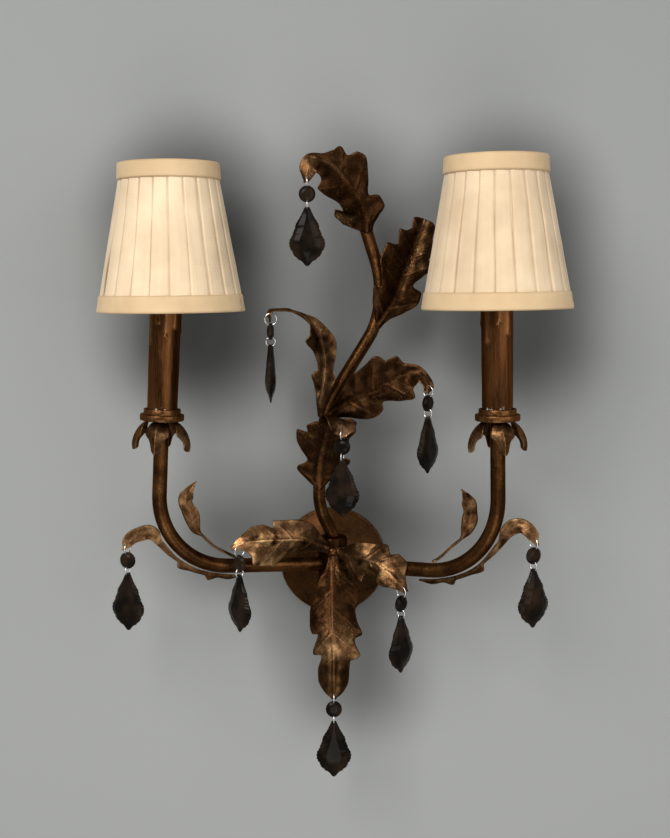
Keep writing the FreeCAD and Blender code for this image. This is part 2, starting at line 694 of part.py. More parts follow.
# Pendants: the leaf that carries each, the hole's share of the midrib, and the way it faces.
PENDANTS = (
    ("top", "leaf_top", 0.95, 0.0),
    ("upper_left", "leaf_upper_left", 0.95, -90.0),
    ("middle_right", "leaf_middle_right", 0.94, 50.0),
    ("lower_left", "leaf_lower_left", 0.93, -18.0),
    ("outer_left", "sprig_left_outer", 0.94, -20.0),
    ("centre_left", "leaf_centre_left", 0.93, -46.0),
    ("centre_right", "leaf_centre_right", 0.92, 45.0),
    ("outer_right", "sprig_right_outer", 0.945, 28.0),
    ("bottom", "leaf_centre_bottom", 0.95, 0.0),
)


def wall_side():
    """Backplate, mounting bar, threaded tube and its two lock nuts."""
    hole = "sizes.nipple_radius + sizes.fit_gap"
    depth, wall = "sizes.plate_depth", "sizes.plate_wall"
    rim, lip = "sizes.plate_radius", "sizes.plate_lip"
    shoulder, rise = "sizes.plate_shoulder_radius", "sizes.plate_shoulder_depth"
    crown = "sizes.plate_crown_radius"
    plate = turned(
        "backplate",
        (
            (hole, depth), (crown, depth), (shoulder, rise), (rim, lip), (rim, "0"),
            (f"{rim} - {wall}", "0"), (f"{rim} - {wall}", f"{lip} - {wall}"),
            (shoulder, f"{rise} - {wall}"), (crown, f"{depth} - {wall}"), (hole, f"{depth} - {wall}"),
        ),
        wall_turn(0),
    )
    named(plate, "backplate")
    half_length, half_width = "sizes.bar_length / 2", "sizes.bar_width / 2"
    corner = "(sizes.bar_length / 2 - sizes.bar_width / 4)"
    bar = padded(
        "mounting_bar",
        (
            (half_length, f"{half_width} / 2"), (corner, half_width),
            (f"-{corner}", half_width), (f"-{half_length}", f"{half_width} / 2"),
            (f"-{half_length}", f"-{half_width} / 2"), (f"-{corner}", f"-{half_width}"),
            (corner, f"-{half_width}"), (half_length, f"-{half_width} / 2"),
        ),
        (
            ("sizes.bar_spacing / 2", "sizes.bar_hole_radius"),
            ("-sizes.bar_spacing / 2", "sizes.bar_hole_radius"),
            ("0", "sizes.nipple_radius + sizes.slide_fit"),
        ),
        "sizes.bar_thickness",
        wall_turn(0),
    )
    named(bar, "mounting_bar")
    end = "(sizes.hub_forward - sizes.hub_radius + sizes.nipple_grip)"
    nipple = turned(
        "centre_nipple",
        (
            ("sizes.nipple_bore", "0"), ("sizes.nipple_radius", "0"),
            ("sizes.nipple_radius", end), ("sizes.nipple_bore", end),
        ),
        wall_turn(0),
    )
    named(nipple, "centre_nipple")
    nuts = []
    hub_back = size("hub_forward") - size("hub_radius")
    seats = (size("bar_thickness"), hub_back - size("fit_gap") - size("nut_height"))
    for name, depth in zip(("bar_nut", "hub_nut"), seats):
        flat, tip = "sizes.nut_flats / 2", "sizes.nut_flats / 2 / cos(30 deg)"
        nuts.append(
            padded(
                name,
                (
                    (tip, "0"), (f"{tip} / 2", flat), (f"-{tip} / 2", flat), (f"-{tip}", "0"),
                    (f"-{tip} / 2", f"-{flat}"), (f"{tip} / 2", f"-{flat}"),
                ),
                (("0", "sizes.nipple_radius + sizes.slide_fit"),),
                "sizes.nut_height",
                wall_turn(depth),
            )
        )
    group = doc.addObject("Part::Compound", "nipple_nuts")
    group.Links = nuts
    named(group, "nipple_nuts")


def candle_frame(side, sign):
    """Foot of a candle's axis under its pan, and the axis, which leans inwards."""
    foot = Vector(sign * size(f"{side}_reach"), -size(f"{side}_forward"), size(f"{side}_base"))
    lean = math.radians(size(f"{side}_lean"))
    return foot, Vector(-sign * math.sin(lean), 0, math.cos(lean))


def candle_placement(side, sign):
    """Placement of all that stands on a candle's axis."""
    foot, axis = candle_frame(side, sign)
    return aimed(foot, axis)


def shade_placement(side, sign):
    """Placement of a shade: it turns about the clip's rivet, on an axis of its own."""
    foot, axis = candle_frame(side, sign)
    rivet_foot = size("socket_top") + size("glass_length") + 2 * size("fit_gap")
    pivot = foot + axis * (rivet_foot + size("clip_plate"))
    lean = math.radians(size(f"{side}_shade_lean"))
    upright = Vector(-sign * math.sin(lean), 0, math.cos(lean))
    return aimed(pivot - upright * (rivet_foot + size("clip_plate")), upright)


def arm_points(side, sign):
    """Hub axis, the corner below the candle and the tube's upper end."""
    foot, axis = candle_frame(side, sign)
    drop = (foot.z - size("arm_corner")) / axis.z
    corner = foot - axis * drop
    root = Vector(0, -size("hub_forward"), size("arm_rise"))
    return root, corner, foot + axis * size("arm_stub")


def arm_path(side, sign, start):
    """The arm's centre line, from a distance outside the hub axis."""
    root, corner, end = arm_points(side, sign)
    inward = (corner - root).normalize()
    return rounded_path([root + inward * start, corner, end], size("arm_bend")), inward


def hub():
    """Turned barrel with its cavity, and bores for the arms, branch, tube and screw."""
    top = "sizes.hub_height"
    edge = "(sizes.hub_radius - sizes.hub_chamfer)"
    button, under = "sizes.hub_finial_radius", "sizes.hub_finial_height"
    foot = Placement(Vector(0, -size("hub_forward"), -size("hub_drop")), Rotation())
    barrel = turned(
        "hub_barrel",
        (
            ("0", f"-{under}"), (button, f"-{under}"), (button, "0"), (edge, "0"),
            ("sizes.hub_radius", "sizes.hub_chamfer"),
            ("sizes.hub_radius", f"{top} - sizes.hub_chamfer"), (edge, top), ("0", top),
        ),
        foot,
    )
    axis_place = Vector(0, -size("hub_forward"), 0)
    floor = axis_place + UPWARD * (size("hub_floor") - size("hub_drop"))
    cutters = [
        cylinder(
            "hub_cavity",
            "sizes.stem_radius + sizes.slide_fit",
            "sizes.hub_height + sizes.overrun",
            aimed(floor, UPWARD),
        ),
        cylinder(
            "hub_tube_seat",
            "sizes.nipple_radius + sizes.slide_fit",
            "sizes.nipple_grip + sizes.fit_gap + sizes.overrun",
            aimed(
                Vector(0, -size("hub_forward") + size("hub_radius") + size("overrun"), 0), FORWARD
            ),
        ),
        cylinder(
            "hub_tube_way",
            "sizes.nipple_bore",
            "sizes.hub_radius",
            aimed(Vector(0, -size("hub_forward") + size("hub_radius"), 0), FORWARD),
        ),
        cylinder(
            "hub_screw_hole",
            "sizes.screw_radius + sizes.slide_fit",
            "sizes.hub_radius + sizes.overrun",
            aimed(axis_place + UPWARD * size("screw_height"), FORWARD),
        ),
    ]
    for side, sign in SIDES:
        root, corner, _ = arm_points(side, sign)
        way = (corner - root).normalize()
        seat = root + way * (size("arm_seat") - size("fit_gap"))
        cutters.append(
            cylinder(
                f"hub_seat_{side}",
                "sizes.arm_radius + sizes.slide_fit",
                "sizes.hub_radius",
                aimed(seat, way),
            )
        )
        cutters.append(
            cylinder(
                f"hub_way_{side}",
                "sizes.arm_radius - sizes.arm_wall",
                "sizes.hub_radius",
                aimed(root, way),
            )
        )
    bores = doc.addObject("Part::MultiFuse", "hub_bores")
    bores.Shapes = cutters
    cut = doc.addObject("Part::Cut", "hub")
    cut.Base = barrel
    cut.Tool = bores
    named(cut, "hub")


def leaf_screw():
    """Round-headed screw that holds the three middle leaves against the hub."""
    stack = 3 * size("leaf_stack")
    face = size("hub_forward") + size("hub_radius") + stack + size("fit_gap")
    grip = "(sizes.hub_radius / 2 + 3 * sizes.leaf_stack)"
    head, height = "sizes.screw_head_radius", "sizes.screw_head_height"
    screw = turned(
        "leaf_screw",
        (
            ("0", f"-{grip}"), ("sizes.screw_radius", f"-{grip}"), ("sizes.screw_radius", "0"),
            (head, "0"), (head, f"{height} / 3"), (f"{head} * 2 / 3", height), ("0", height),
        ),
        Placement(Vector(0, -face, size("screw_height")), Rotation(RIGHTWARD, 90)),
    )
    named(screw, "leaf_screw")


def arms():
    """Two bent tubes from the hub to the candles."""
    for side, sign in SIDES:
        path, _ = arm_path(side, sign, size("arm_seat"))
        inner = size("arm_radius") - size("arm_wall")
        shaped(f"arm_{side}", faceted_tube(stations(path), size("arm_radius"), inner, TUBE_SIDES))


def wiring():
    """A flex from each lamp holder through its arm, the hub and the threaded tube."""
    solids = []
    gap = size("nipple_bore") / 2
    rear = size("bar_thickness") + size("nut_height") + size("overrun")
    for side, sign in SIDES:
        root, corner, end = arm_points(side, sign)
        axis = (end - corner).normalize()
        top = end + axis * (size("socket_foot") + size("fit_gap"))
        turn = Vector(sign * gap, -size("hub_forward"), size("arm_rise"))
        level = Vector(sign * gap, -size("hub_forward") + size("hub_radius") / 2, 0)
        back = Vector(sign * gap, -rear, 0)
        route = rounded_path([top, corner, turn], size("arm_bend"))
        points = stations(route) + [level, back]
        solids.append(faceted_wire(points, size("flex_radius"), FLEX_SIDES))
    shaped("wiring", Part.makeCompound(solids))


def petals():
    """Stamped ring with four petals that hang under each pan."""
    span = size("petal_span")
    table = tuple((share, width * span) for share, width in PETAL_EDGE_SHARES)
    below = size("sheet") + size("fit_gap")
    for side, sign in SIDES:
        outer = Part.makeCylinder(size("petal_ring_radius"), size("sheet"), UPWARD * -below)
        bore = Part.makeCylinder(
            size("arm_radius") + size("slide_fit"),
            size("sheet") + 2 * size("overrun"),
            UPWARD * -(below + size("overrun")),
        )
        ring = outer.cut(bore)
        for number in range(PETALS):
            angle = math.tau * number / PETALS
            out = Vector(math.cos(angle), math.sin(angle), 0)
            rib = [out * (r * span) + UPWARD * (z * span) for r, z in PETAL_RIB_SHARES]
            blade = Blade(
                rib, (UPWARD, out + UPWARD, out), ((0, 0), (0.3, -8), (1, -14)), 0, table, table
            )
            ring = ring.fuse(blade.solid(size("sheet")))
        shaped(f"petals_{side}", ring, candle_placement(side, sign))


def candles():
    """Drip pan, sleeve, lamp holder and flame lamp of each candle."""
    for side, sign in SIDES:
        stand = candle_placement(side, sign)
        bore = "sizes.arm_radius + sizes.slide_fit"
        pan = turned(
            f"drip_pan_{side}",
            (
                (bore, "0"), ("sizes.pan_radius - sizes.sheet", "0"),
                ("sizes.pan_radius", "sizes.sheet"), ("sizes.pan_radius", "sizes.pan_rim"),
                ("sizes.pan_cup_radius", "sizes.pan_rim"),
                ("sizes.pan_cup_radius", "sizes.pan_height"),
                ("sizes.sleeve_radius + sizes.slide_fit", "sizes.pan_height"),
                ("sizes.sleeve_radius + sizes.slide_fit", "sizes.pan_rim"),
                (bore, "sizes.pan_rim"),
            ),
            stand,
        )
        named(pan, f"drip_pan_{side}")
        foot = "sizes.pan_rim + sizes.slide_fit"
        crown = "sizes.pan_rim + sizes.sleeve_length"
        inside = "sizes.sleeve_radius - sizes.sleeve_wall"
        sleeve = turned(
            f"candle_sleeve_{side}",
            ((inside, foot), ("sizes.sleeve_radius", foot), ("sizes.sleeve_radius", crown),
             (inside, crown)),
            stand,
        )
        named(sleeve, f"candle_sleeve_{side}")
        low = "sizes.arm_stub + sizes.slide_fit"
        top = "sizes.socket_top"
        neck = "(sizes.socket_top - sizes.socket_body)"
        well = "(sizes.socket_top - sizes.cap_length - sizes.fit_gap)"
        wire, mouth = "sizes.socket_wire_radius", "sizes.cap_radius + sizes.slide_fit"
        holder = turned(
            f"socket_{side}",
            (
                (wire, low), ("sizes.socket_foot_radius", low),
                ("sizes.socket_foot_radius", "sizes.arm_stub + sizes.socket_foot"),
                ("sizes.socket_stem_radius", "sizes.arm_stub + sizes.socket_foot"),
                ("sizes.socket_stem_radius", neck), ("sizes.socket_body_radius", neck),
                ("sizes.socket_body_radius", top), (mouth, top), (mouth, well), (wire, well),
            ),
            stand,
        )
        named(holder, f"socket_{side}")
        cap = cylinder(f"lamp_cap_{side}", "sizes.cap_radius", "sizes.cap_length", stand)
        cap.Placement = stand * Placement(UPWARD * (size("socket_top") - size("cap_length")), Rotation())
        glass = turned(f"lamp_glass_{side}", flame_outline("sizes.socket_top"), stand)
        lamp = doc.addObject("Part::Compound", f"bulb_{side}")
        lamp.Links = [cap, glass]
        named(lamp, f"bulb_{side}")


FLAME_SHARES = (
    (0.26, 0.0), (0.52, 0.05), (0.88, 0.19), (1.0, 0.33), (0.86, 0.55), (0.52, 0.78),
    (0.22, 0.92), (0.0, 1.0),
)


def flame_outline(foot):
    """(radius, height) expressions of the flame lamp above its foot."""
    points = [("0", foot)]
    for radius_share, height_share in FLAME_SHARES:
        radius = f"sizes.glass_radius * {radius_share}" if radius_share else "0"
        points.append((radius, f"{foot} + sizes.glass_length * {height_share}"))
    return tuple(points)


def glass_radius_at(share):
    """Radius of the flame lamp at a share of its length."""
    table = [(height, radius) for radius, height in FLAME_SHARES]
    return between(table, share) * size("glass_radius")


CLIP_SHARES = ((0.92, 10), (0.78, 24), (0.62, 30), (0.47, 24), (0.44, 8))


def clip_loop(sign):
    """One wire loop of the bulb clip, hugging the upper half of the lamp."""
    foot, length = size("socket_top"), size("glass_length")
    stand_off = size("clip_wire") + 2 * size("fit_gap")
    plate = foot + length + 2 * size("fit_gap")
    half = []
    for share, angle in CLIP_SHARES:
        radius = glass_radius_at(share) + stand_off
        turn = math.radians(angle)
        half.append((radius * math.cos(turn), radius * math.sin(turn), foot + length * share))
    start = size("clip_plate_radius") * math.cos(math.pi / 4)
    half.insert(0, (start, start / 2, plate + size("clip_plate") / 2))
    loop = half + [(x, -y, z) for x, y, z in reversed(half)]
    return faceted_wire([Vector(sign * x, y, z) for x, y, z in loop], size("clip_wire"), WIRE_SIDES)


def shades():
    """Clip, wire frame, pleated cover and bands of each shade."""
    for side, sign in SIDES:
        stand = candle_placement(side, sign)
        upright = shade_placement(side, sign)
        plate = size("socket_top") + size("glass_length") + 2 * size("fit_gap")
        disc = Part.makeCylinder(size("clip_plate_radius"), size("clip_plate"), UPWARD * plate)
        rivet = Part.makeCylinder(
            size("clip_rivet_radius"),
            size("clip_rivet_height") + size("clip_plate") / 2,
            UPWARD * (plate + size("clip_plate") / 2),
        )
        head = Part.makeCylinder(
            size("clip_head_radius"),
            size("clip_head"),
            UPWARD * (plate + size("clip_plate") + size("clip_rivet_height") - size("clip_head")),
        )
        rivet = rivet.fuse(head)
        rivet.transformShape(stand.inverse().multiply(upright).toMatrix())
        clip = disc.fuse([rivet, clip_loop(1), clip_loop(-1)])
        shaped(f"bulb_clip_{side}", clip, stand)
        shaped(f"shade_frame_{side}", shade_frame(), upright)
        shaped(f"shade_cover_{side}", shade_cover(), upright)
        shaped(f"shade_bands_{side}", shade_bands(), upright)


def shade_radius(height):
    """Outer radius of the shade over its bands, at a height above its lower edge."""
    share = height / size("shade_height")
    return size("shade_bottom_radius") * (1 - share) + size("shade_top_radius") * share


def cone_wall(low, high, outer, inner, places):
    """Closed wall between two heights, cut at places counted in pleats."""
    slices = []
    for place in places:
        angle = math.tau * place / PLEATS
        out = Vector(math.cos(angle), math.sin(angle), 0)
        base = UPWARD * size("shade_base")
        corners = ((outer, low), (outer, high), (inner, high), (inner, low))
        slices.append(
            [base + UPWARD * height + out * radius(height, place) for radius, height in corners]
        )
    return skin(slices, closed=True)


def cover_radius(height):
    """Outer radius of the pleats' crests."""
    return shade_radius(height) - size("band_thickness") - size("fit_gap") / 2


def shade_cover():
    """Knife pleats: each lies flat from its crest and steps up sharply to the next one."""
    fold_share = 0.9
    lining = size("pleat_depth") + size("fabric")

    def outer(height, place):
        return cover_radius(height) - (size("pleat_depth") if place % 1 else 0.0)

    def inner(height, place):
        return cover_radius(height) - lining

    places = [pleat + share for pleat in range(PLEATS) for share in (0, fold_share)]
    return cone_wall(size("fit_gap"), size("shade_height") - size("fit_gap"), outer, inner, places)


def shade_bands():
    """Lower and upper band over the cover's ends."""
    high, band = size("shade_height"), size("band_height")
    places = [half / 2 for half in range(2 * PLEATS)]

    def outer(height, _):
        return shade_radius(height)

    def inner(height, _):
        return shade_radius(height) - size("band_thickness")

    ends = ((0.0, band), (high - band, high))
    return Part.makeCompound([cone_wall(low, top, outer, inner, places) for low, top in ends])


def shade_frame():
    """Wire rings and ribs inside the cover, with the spider that the clip's rivet carries."""
    base, high = size("shade_base"), size("shade_height")
    wire = size("frame_wire")
    inset = size("pleat_depth") + size("fabric") + size("fit_gap") + wire

    def radius(height):
        return cover_radius(height) * math.cos(math.pi / PLEATS) - inset

    low, top = 2 * wire, high - 2 * wire
    solids = []
    for height in (low, top):
        sections = []
        for index in range(PLEATS):
            angle = math.tau * index / PLEATS
            out = Vector(math.cos(angle), math.sin(angle), 0)
            centre = out * radius(height) + UPWARD * (base + height)
            sections.append(polygon(centre, out, UPWARD, wire, wire, WIRE_SIDES))
        solids.append(skin(sections, closed=True))
    for index in range(RIBS):
        angle = math.tau * (index + 0.5) / RIBS
        out = Vector(math.cos(angle), math.sin(angle), 0)
        ends = [out * radius(height) + UPWARD * (base + height) for height in (low, top)]
        solids.append(faceted_wire(ends, wire, WIRE_SIDES))
    washer = (
        size("socket_top") + size("glass_length") + 4 * size("fit_gap") + size("clip_plate")
    )
    disc = Part.makeCylinder(size("spider_hub_radius"), size("spider_hub"), UPWARD * washer)
    middle = washer + size("spider_hub") / 2
    for index in range(SPOKES):
        angle = math.tau * index / SPOKES
        out = Vector(math.cos(angle), math.sin(angle), 0)
        start = out * (size("spider_hub_radius") - wire) + UPWARD * middle
        end = out * radius(top) + UPWARD * (base + top)
        solids.append(faceted_wire([start, end], wire, WIRE_SIDES))
    frame = disc.fuse(solids)
    rivet = size("clip_rivet_radius") + size("slide_fit")
    length = size("spider_hub") + 2 * size("overrun")
    return frame.cut(Part.makeCylinder(rivet, length, UPWARD * (washer - size("overrun"))))


STEM_SHARES = (
    (0.0, 0.0, 0.0), (-0.045, -0.03, 0.10), (-0.04, -0.045, 0.40), (0.145, -0.05, 0.70),
    (0.155, -0.045, 0.84), (0.105, -0.03, 1.0),
)


def stem_path():
    """The branch's centre line, from inside the hub to its tip."""
    foot = Vector(0, -size("hub_forward"), size("hub_height") - size("hub_drop"))
    high = size("stem_height")
    points = [foot + Vector(x, y, z) * high for x, y, z in STEM_SHARES]
    return rounded_path([foot - UPWARD * size("stem_seat")] + points, high)


def stem():
    """Bent tube that carries the five upper leaves."""
    shaped("stem", faceted_wire(stations(stem_path()), size("stem_radius"), TUBE_SIDES))


def along_path(path, share):
    """Point at a share of a path's length."""
    steps = 200
    points = path.discretize(Number=steps + 1)
    spot = share * steps
    index = min(int(spot), steps - 1)
    return points[index] + (points[index + 1] - points[index]) * (spot - index)


def scaled(table, length):
    """Edge table with its widths turned from shares into millimetres."""
    return tuple((share, width * length) for share, width in table)


def leaf_blades():
    """The eight oak leaves as blades, by name."""
    span = size("leaf_span")
    path = stem_path()
    blades = {}
    for name, leaf in LEAVES.items():
        if "stack" in leaf:
            depth = size("hub_forward") + size("hub_radius") + size("fit_gap")
            depth += leaf["stack"] * size("leaf_stack") + size("sheet") / 2
            base = Vector(0, -depth, size("screw_height"))
        else:
            out = Vector(*leaf["side"]).normalize()
            stand_off = size("stem_radius") + size("fit_gap") + size("sheet") / 2
            base = along_path(path, leaf["stem_share"]) + out * stand_off
        rib = [base + Vector(*place) * span for place in leaf["rib_shares"]]
        facing = [Vector(*way).normalize() for way in leaf["facing"]]
        blades[name] = Blade(
            rib, facing, leaf["fold"], 28, scaled(leaf["right_shares"], span),
            scaled(leaf["left_shares"], span),
        )
    return blades


def sprig_blades():
    """Outer sprigs, soldered under the arms, and inner sprigs on a wire above them."""
    span = size("leaf_span")
    blades = {}
    for side, sign in SIDES:
        path, way = arm_path(side, sign, size("hub_radius"))
        _, axis = candle_frame(side, sign)
        out = way.cross(axis).normalize() * -sign
        strip = OUTER_SPRIGS[side]["strip_shares"]
        rib = []
        hang = size("arm_radius") + size("fit_gap") + span * 0.025
        for share in strip:
            here, ahead = along_path(path, share), along_path(path, share + 0.01)
            under = (ahead - here).normalize().cross(out) * -sign
            rib.append(here + under * hang)
        rib += [rib[-1] + Vector(*place) * span for place in OUTER_SPRIGS[side]["free_shares"]]
        tables = [scaled(STRIP_RIGHT_SHARES, span), scaled(STRIP_LEFT_SHARES, span)]
        if sign < 0:
            tables.reverse()
        facing = [FORWARD, FORWARD, (FORWARD + UPWARD / 2).normalize(), FORWARD]
        blades[f"sprig_{side}_outer"] = Blade(rib, facing, ((0, 0), (1, 0)), 15, *tables)
        spot = along_path(path, INNER_SPRIGS[side]["arm_share"])
        base = spot + UPWARD * (size("arm_radius") + size("fit_gap") + size("sheet"))
        rib = [base + Vector(*place) * span for place in INNER_SPRIGS[side]["rib_shares"]]
        table = scaled(SPRIG_SHARES, span)
        facing = [UPWARD + FORWARD, FORWARD, FORWARD, FORWARD]
        blades[f"sprig_{side}_inner"] = Blade(rib, facing, ((0, 0), (0.5, 0), (1, 15)), 20, table, table)
    return blades


def pendant_frame(blade, share, azimuth):
    """Placement of a pendant at its leaf's hole: Y through the hole, Z up."""
    point = blade.axes(share)[0]
    return Placement(point, Rotation(UPWARD, azimuth))


def leaves_and_drops():
    """Leaves and sprigs with their ring holes, and the beads and drops that hang there."""
    blades = leaf_blades()
    blades.update(sprig_blades())
    solids = {name: blade.solid(size("sheet")) for name, blade in blades.items()}
    reach = 4 * size("sheet")
    for _, leaf, share, azimuth in PENDANTS:
        place = pendant_frame(blades[leaf], share, azimuth)
        through = place.Rotation.multVec(FORWARD)
        bore = Part.makeCylinder(
            size("leaf_hole_radius"), 2 * reach, place.Base - through * reach, through
        )
        solids[leaf] = solids[leaf].cut(bore)
    face = size("hub_forward") + size("hub_radius")
    for name in solids:
        if "centre" in name:
            bore = Part.makeCylinder(
                size("screw_radius") + size("slide_fit"),
                face,
                Vector(0, -face / 2, size("screw_height")),
                FORWARD,
            )
            solids[name] = solids[name].cut(bore)
        shaped(name, solids[name])
    for name, leaf, share, azimuth in PENDANTS:
        place = pendant_frame(blades[leaf], share, azimuth)
        shaped(f"bead_{name}", bead_solids(), place)
        shaped(f"drop_{name}", drop_solids(), place)


def pendant_heights():
    """Heights below the leaf's hole: ring, bead top, bead centre, link, drop top."""
    wire, hole = size("ring_wire"), size("bead_hole_radius")
    slack = hole - wire - size("ring_slack")
    ring = -(size("leaf_hole_radius") - wire - size("ring_slack")) / 2 - size("ring_radius")
    bead_hole = ring - size("ring_radius") - slack
    bead = bead_hole + size("bead_hole_inset") - size("bead_size") / 2
    low_hole = bead - size("bead_size") / 2 + size("bead_hole_inset")
    link = low_hole + slack - size("link_radius")
    drop_hole = link - size("link_radius") - slack
    return ring, bead_hole, bead, low_hole, link, drop_hole


def pierced(solid, height):
    """A glass piece with a small hole along Y at a height."""
    reach = size("drop_thickness")
    points = polygon(
        Vector(0, -reach, height), RIGHTWARD, UPWARD, size("bead_hole_radius") / math.cos(math.pi / 8),
        size("bead_hole_radius") / math.cos(math.pi / 8), 8, 0.5,
    )
    far = [point + Vector(0, 2 * reach, 0) for point in points]
    return solid.cut(skin([points, far]))


def bead_solids():
    """Upper jump ring and faceted octagon bead."""
    ring, top_hole, centre, low_hole, _, _ = pendant_heights()
    link = wire_ring(size("ring_radius"), size("ring_wire"))
    link.translate(UPWARD * ring)
    half, thick = size("bead_size") / 2 / math.cos(math.pi / 8), size("bead_thickness") / 2
    sections = []
    for depth, radius in ((-thick, 0.45), (-thick / 3, 1.0), (thick / 3, 1.0), (thick, 0.45)):
        middle = Vector(0, depth, centre)
        sections.append(polygon(middle, RIGHTWARD, UPWARD, half * radius, half * radius, 8, 0.5))
    bead = pierced(pierced(skin(sections), top_hole), low_hole)
    return Part.makeCompound([link, bead])


# Half widths of the drop at shares of its length from the top, wavy as its edge is scalloped.
DROP_SHARES = (
    (0.0, 0.12), (0.03, 0.20), (0.10, 0.24), (0.16, 0.40), (0.24, 0.46), (0.30, 0.60), (0.38, 0.67),
    (0.44, 0.82), (0.52, 0.88), (0.58, 1.0), (0.65, 0.97), (0.73, 0.72), (0.84, 0.36), (0.93, 0.15),
    (1.0, 0.03),
)


def drop_solids():
    """Lower jump ring and the flat drop with its bevelled, scalloped edge."""
    _, _, _, _, link_height, hole = pendant_heights()
    link = wire_ring(size("link_radius"), size("ring_wire"))
    link.translate(UPWARD * link_height)
    top = hole + size("drop_hole_inset")
    sections = []
    for share, width in DROP_SHARES:
        half = size("drop_width") / 2 * width
        thick = size("drop_thickness") / 2 * min(1.0, 0.35 + width * 0.65)
        thick *= min(1.0, 0.25 + (1.0 - share) * 3.0)
        height = top - size("drop_length") * share
        sections.append(
            [
                Vector(half, 0, height), Vector(half * 0.45, thick, height),
                Vector(-half * 0.45, thick, height), Vector(-half, 0, height),
                Vector(-half * 0.45, -thick, height), Vector(half * 0.45, -thick, height),
            ]
        )
    return Part.makeCompound([link, pierced(skin(sections), hole)])


def check_and_export():
    """Stops on any failed object, then writes one file for each sub-part."""
    doc.recompute()
    failed = [thing.Name for thing in doc.Objects if {"Invalid", "Error"} & set(thing.State)]
    if failed:
        raise RuntimeError(f"failed objects: {failed}")
    bad = [
        thing.Label
        for thing in parts
        if thing.Shape.isNull() or not thing.Shape.isValid() or thing.Shape.Volume <= 0
    ]
    if bad:
        raise RuntimeError(f"bad shapes: {bad}")
    os.makedirs("parts", exist_ok=True)
    for thing in parts:
        thing.Shape.exportStep(f"parts/{thing.Label}.step")
    print(len(parts), "sub-parts written")


fill_sheet()
wall_side()
hub()
leaf_screw()
arms()
wiring()
petals()
candles()
shades()
stem()
leaves_and_drops()
check_and_export()
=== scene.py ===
"""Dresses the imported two-light wall lamp: bronze leaves and arms, pleated shades, black drops."""

import json
import logging
import math
from dataclasses import dataclass
from enum import Enum
from typing import Callable, Optional, Sequence

import bmesh
import bpy
from mathutils import Matrix, Vector, noise


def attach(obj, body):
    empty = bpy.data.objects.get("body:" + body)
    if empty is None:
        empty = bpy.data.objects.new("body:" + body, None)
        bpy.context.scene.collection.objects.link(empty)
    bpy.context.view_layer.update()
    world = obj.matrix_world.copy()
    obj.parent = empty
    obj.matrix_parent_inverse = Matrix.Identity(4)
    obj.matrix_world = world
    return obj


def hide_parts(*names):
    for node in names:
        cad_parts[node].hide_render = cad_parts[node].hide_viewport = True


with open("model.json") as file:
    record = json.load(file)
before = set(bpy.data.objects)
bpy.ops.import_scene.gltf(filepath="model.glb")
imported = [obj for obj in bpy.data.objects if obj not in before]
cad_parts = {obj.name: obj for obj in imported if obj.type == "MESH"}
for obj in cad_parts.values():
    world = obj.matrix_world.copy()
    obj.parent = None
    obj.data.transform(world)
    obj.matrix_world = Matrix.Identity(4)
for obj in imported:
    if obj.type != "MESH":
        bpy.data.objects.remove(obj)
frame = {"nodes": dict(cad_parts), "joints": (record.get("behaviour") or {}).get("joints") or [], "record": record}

LOG = logging.getLogger("wall_lamp")
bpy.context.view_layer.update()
MM = 0.001
UP = Vector((0, 0, 1))
FORWARD = Vector((0, -1, 0))
PENDANTS = (
    "top", "upper_left", "middle_right", "lower_left", "outer_left", "centre_left", "centre_right",
    "outer_right", "bottom",
)
Table = Sequence[tuple[float, float]]
Colour = tuple[float, float, float]
Place = tuple[float, float, float]


class Side(Enum):
    """The lamp's two candles, by the direction along X in which each lies."""

    LEFT = -1
    RIGHT = 1

    @property
    def word(self) -> str:
        """The side's name as the nodes spell it."""
        return self.name.lower()


def smooth_reading(table: Table, share: float) -> float:
    """Reads a table of (share, value) pairs along a curve that never overshoots them.

    Args:
        table: pairs in rising order of their share.
        share: where to read.

    Returns:
        The value there; each lobe and notch of the table keeps its own height.
    """
    if share <= table[0][0]:
        return table[0][1]
    if share >= table[-1][0]:
        return table[-1][1]
    index = 1
    while table[index][0] < share:
        index += 1
    slopes = [
        (after[1] - before[1]) / (after[0] - before[0]) for before, after in zip(table, table[1:])
    ]

    def tangent(spot: int) -> float:
        if spot in (0, len(table) - 1):
            return 0.0
        low, high = slopes[spot - 1], slopes[spot]
        return 0.0 if low * high <= 0 else 2 * low * high / (low + high)

    (x0, y0), (x1, y1) = table[index - 1], table[index]
    width = x1 - x0
    t = (share - x0) / width
    return (
        y0 * (1 + 2 * t) * (1 - t) ** 2
        + tangent(index - 1) * width * t * (1 - t) ** 2
        + y1 * t * t * (3 - 2 * t)
        + tangent(index) * width * t * t * (t - 1)
    )


def curve_point(places: Sequence[Vector], share: float) -> Vector:
    """Point of a smooth curve through places.

    Args:
        places: the places, evenly numbered along the curve.
        share: 0 at the first place and 1 at the last.

    Returns:
        The point there.
    """
    last = len(places) - 1
    step = min(max(share, 0.0), 1.0) * last
    index = min(int(step), last - 1)
    t = step - index
    here, there = places[index], places[index + 1]
    before = places[index - 1] if index > 0 else here * 2 - there
    beyond = places[index + 2] if index + 2 <= last else there * 2 - here
    return (
        here * 2
        + (there - before) * t
        + (before * 2 - here * 5 + there * 4 - beyond) * (t * t)
        + (here * 3 - before - there * 3 + beyond) * (t * t * t)
    ) * 0.5


def turns(count: int, phase: float = 0.0) -> list[float]:
    """Angles of places spaced evenly round a turn, the first moved on by a share of a space."""
    return [math.tau * (index + phase) / count for index in range(count)]


def about(place: Matrix, radius: float, angle: float, height: float) -> Vector:
    """Point at a radius, an angle and a height about a place's Z."""
    return place @ Vector((radius * math.cos(angle), radius * math.sin(angle), height))


def bell(distance: float, width: float) -> float:
    """Smooth hump that is 1 at no distance and falls away over a width."""
    return math.exp(-((distance / width) ** 2))


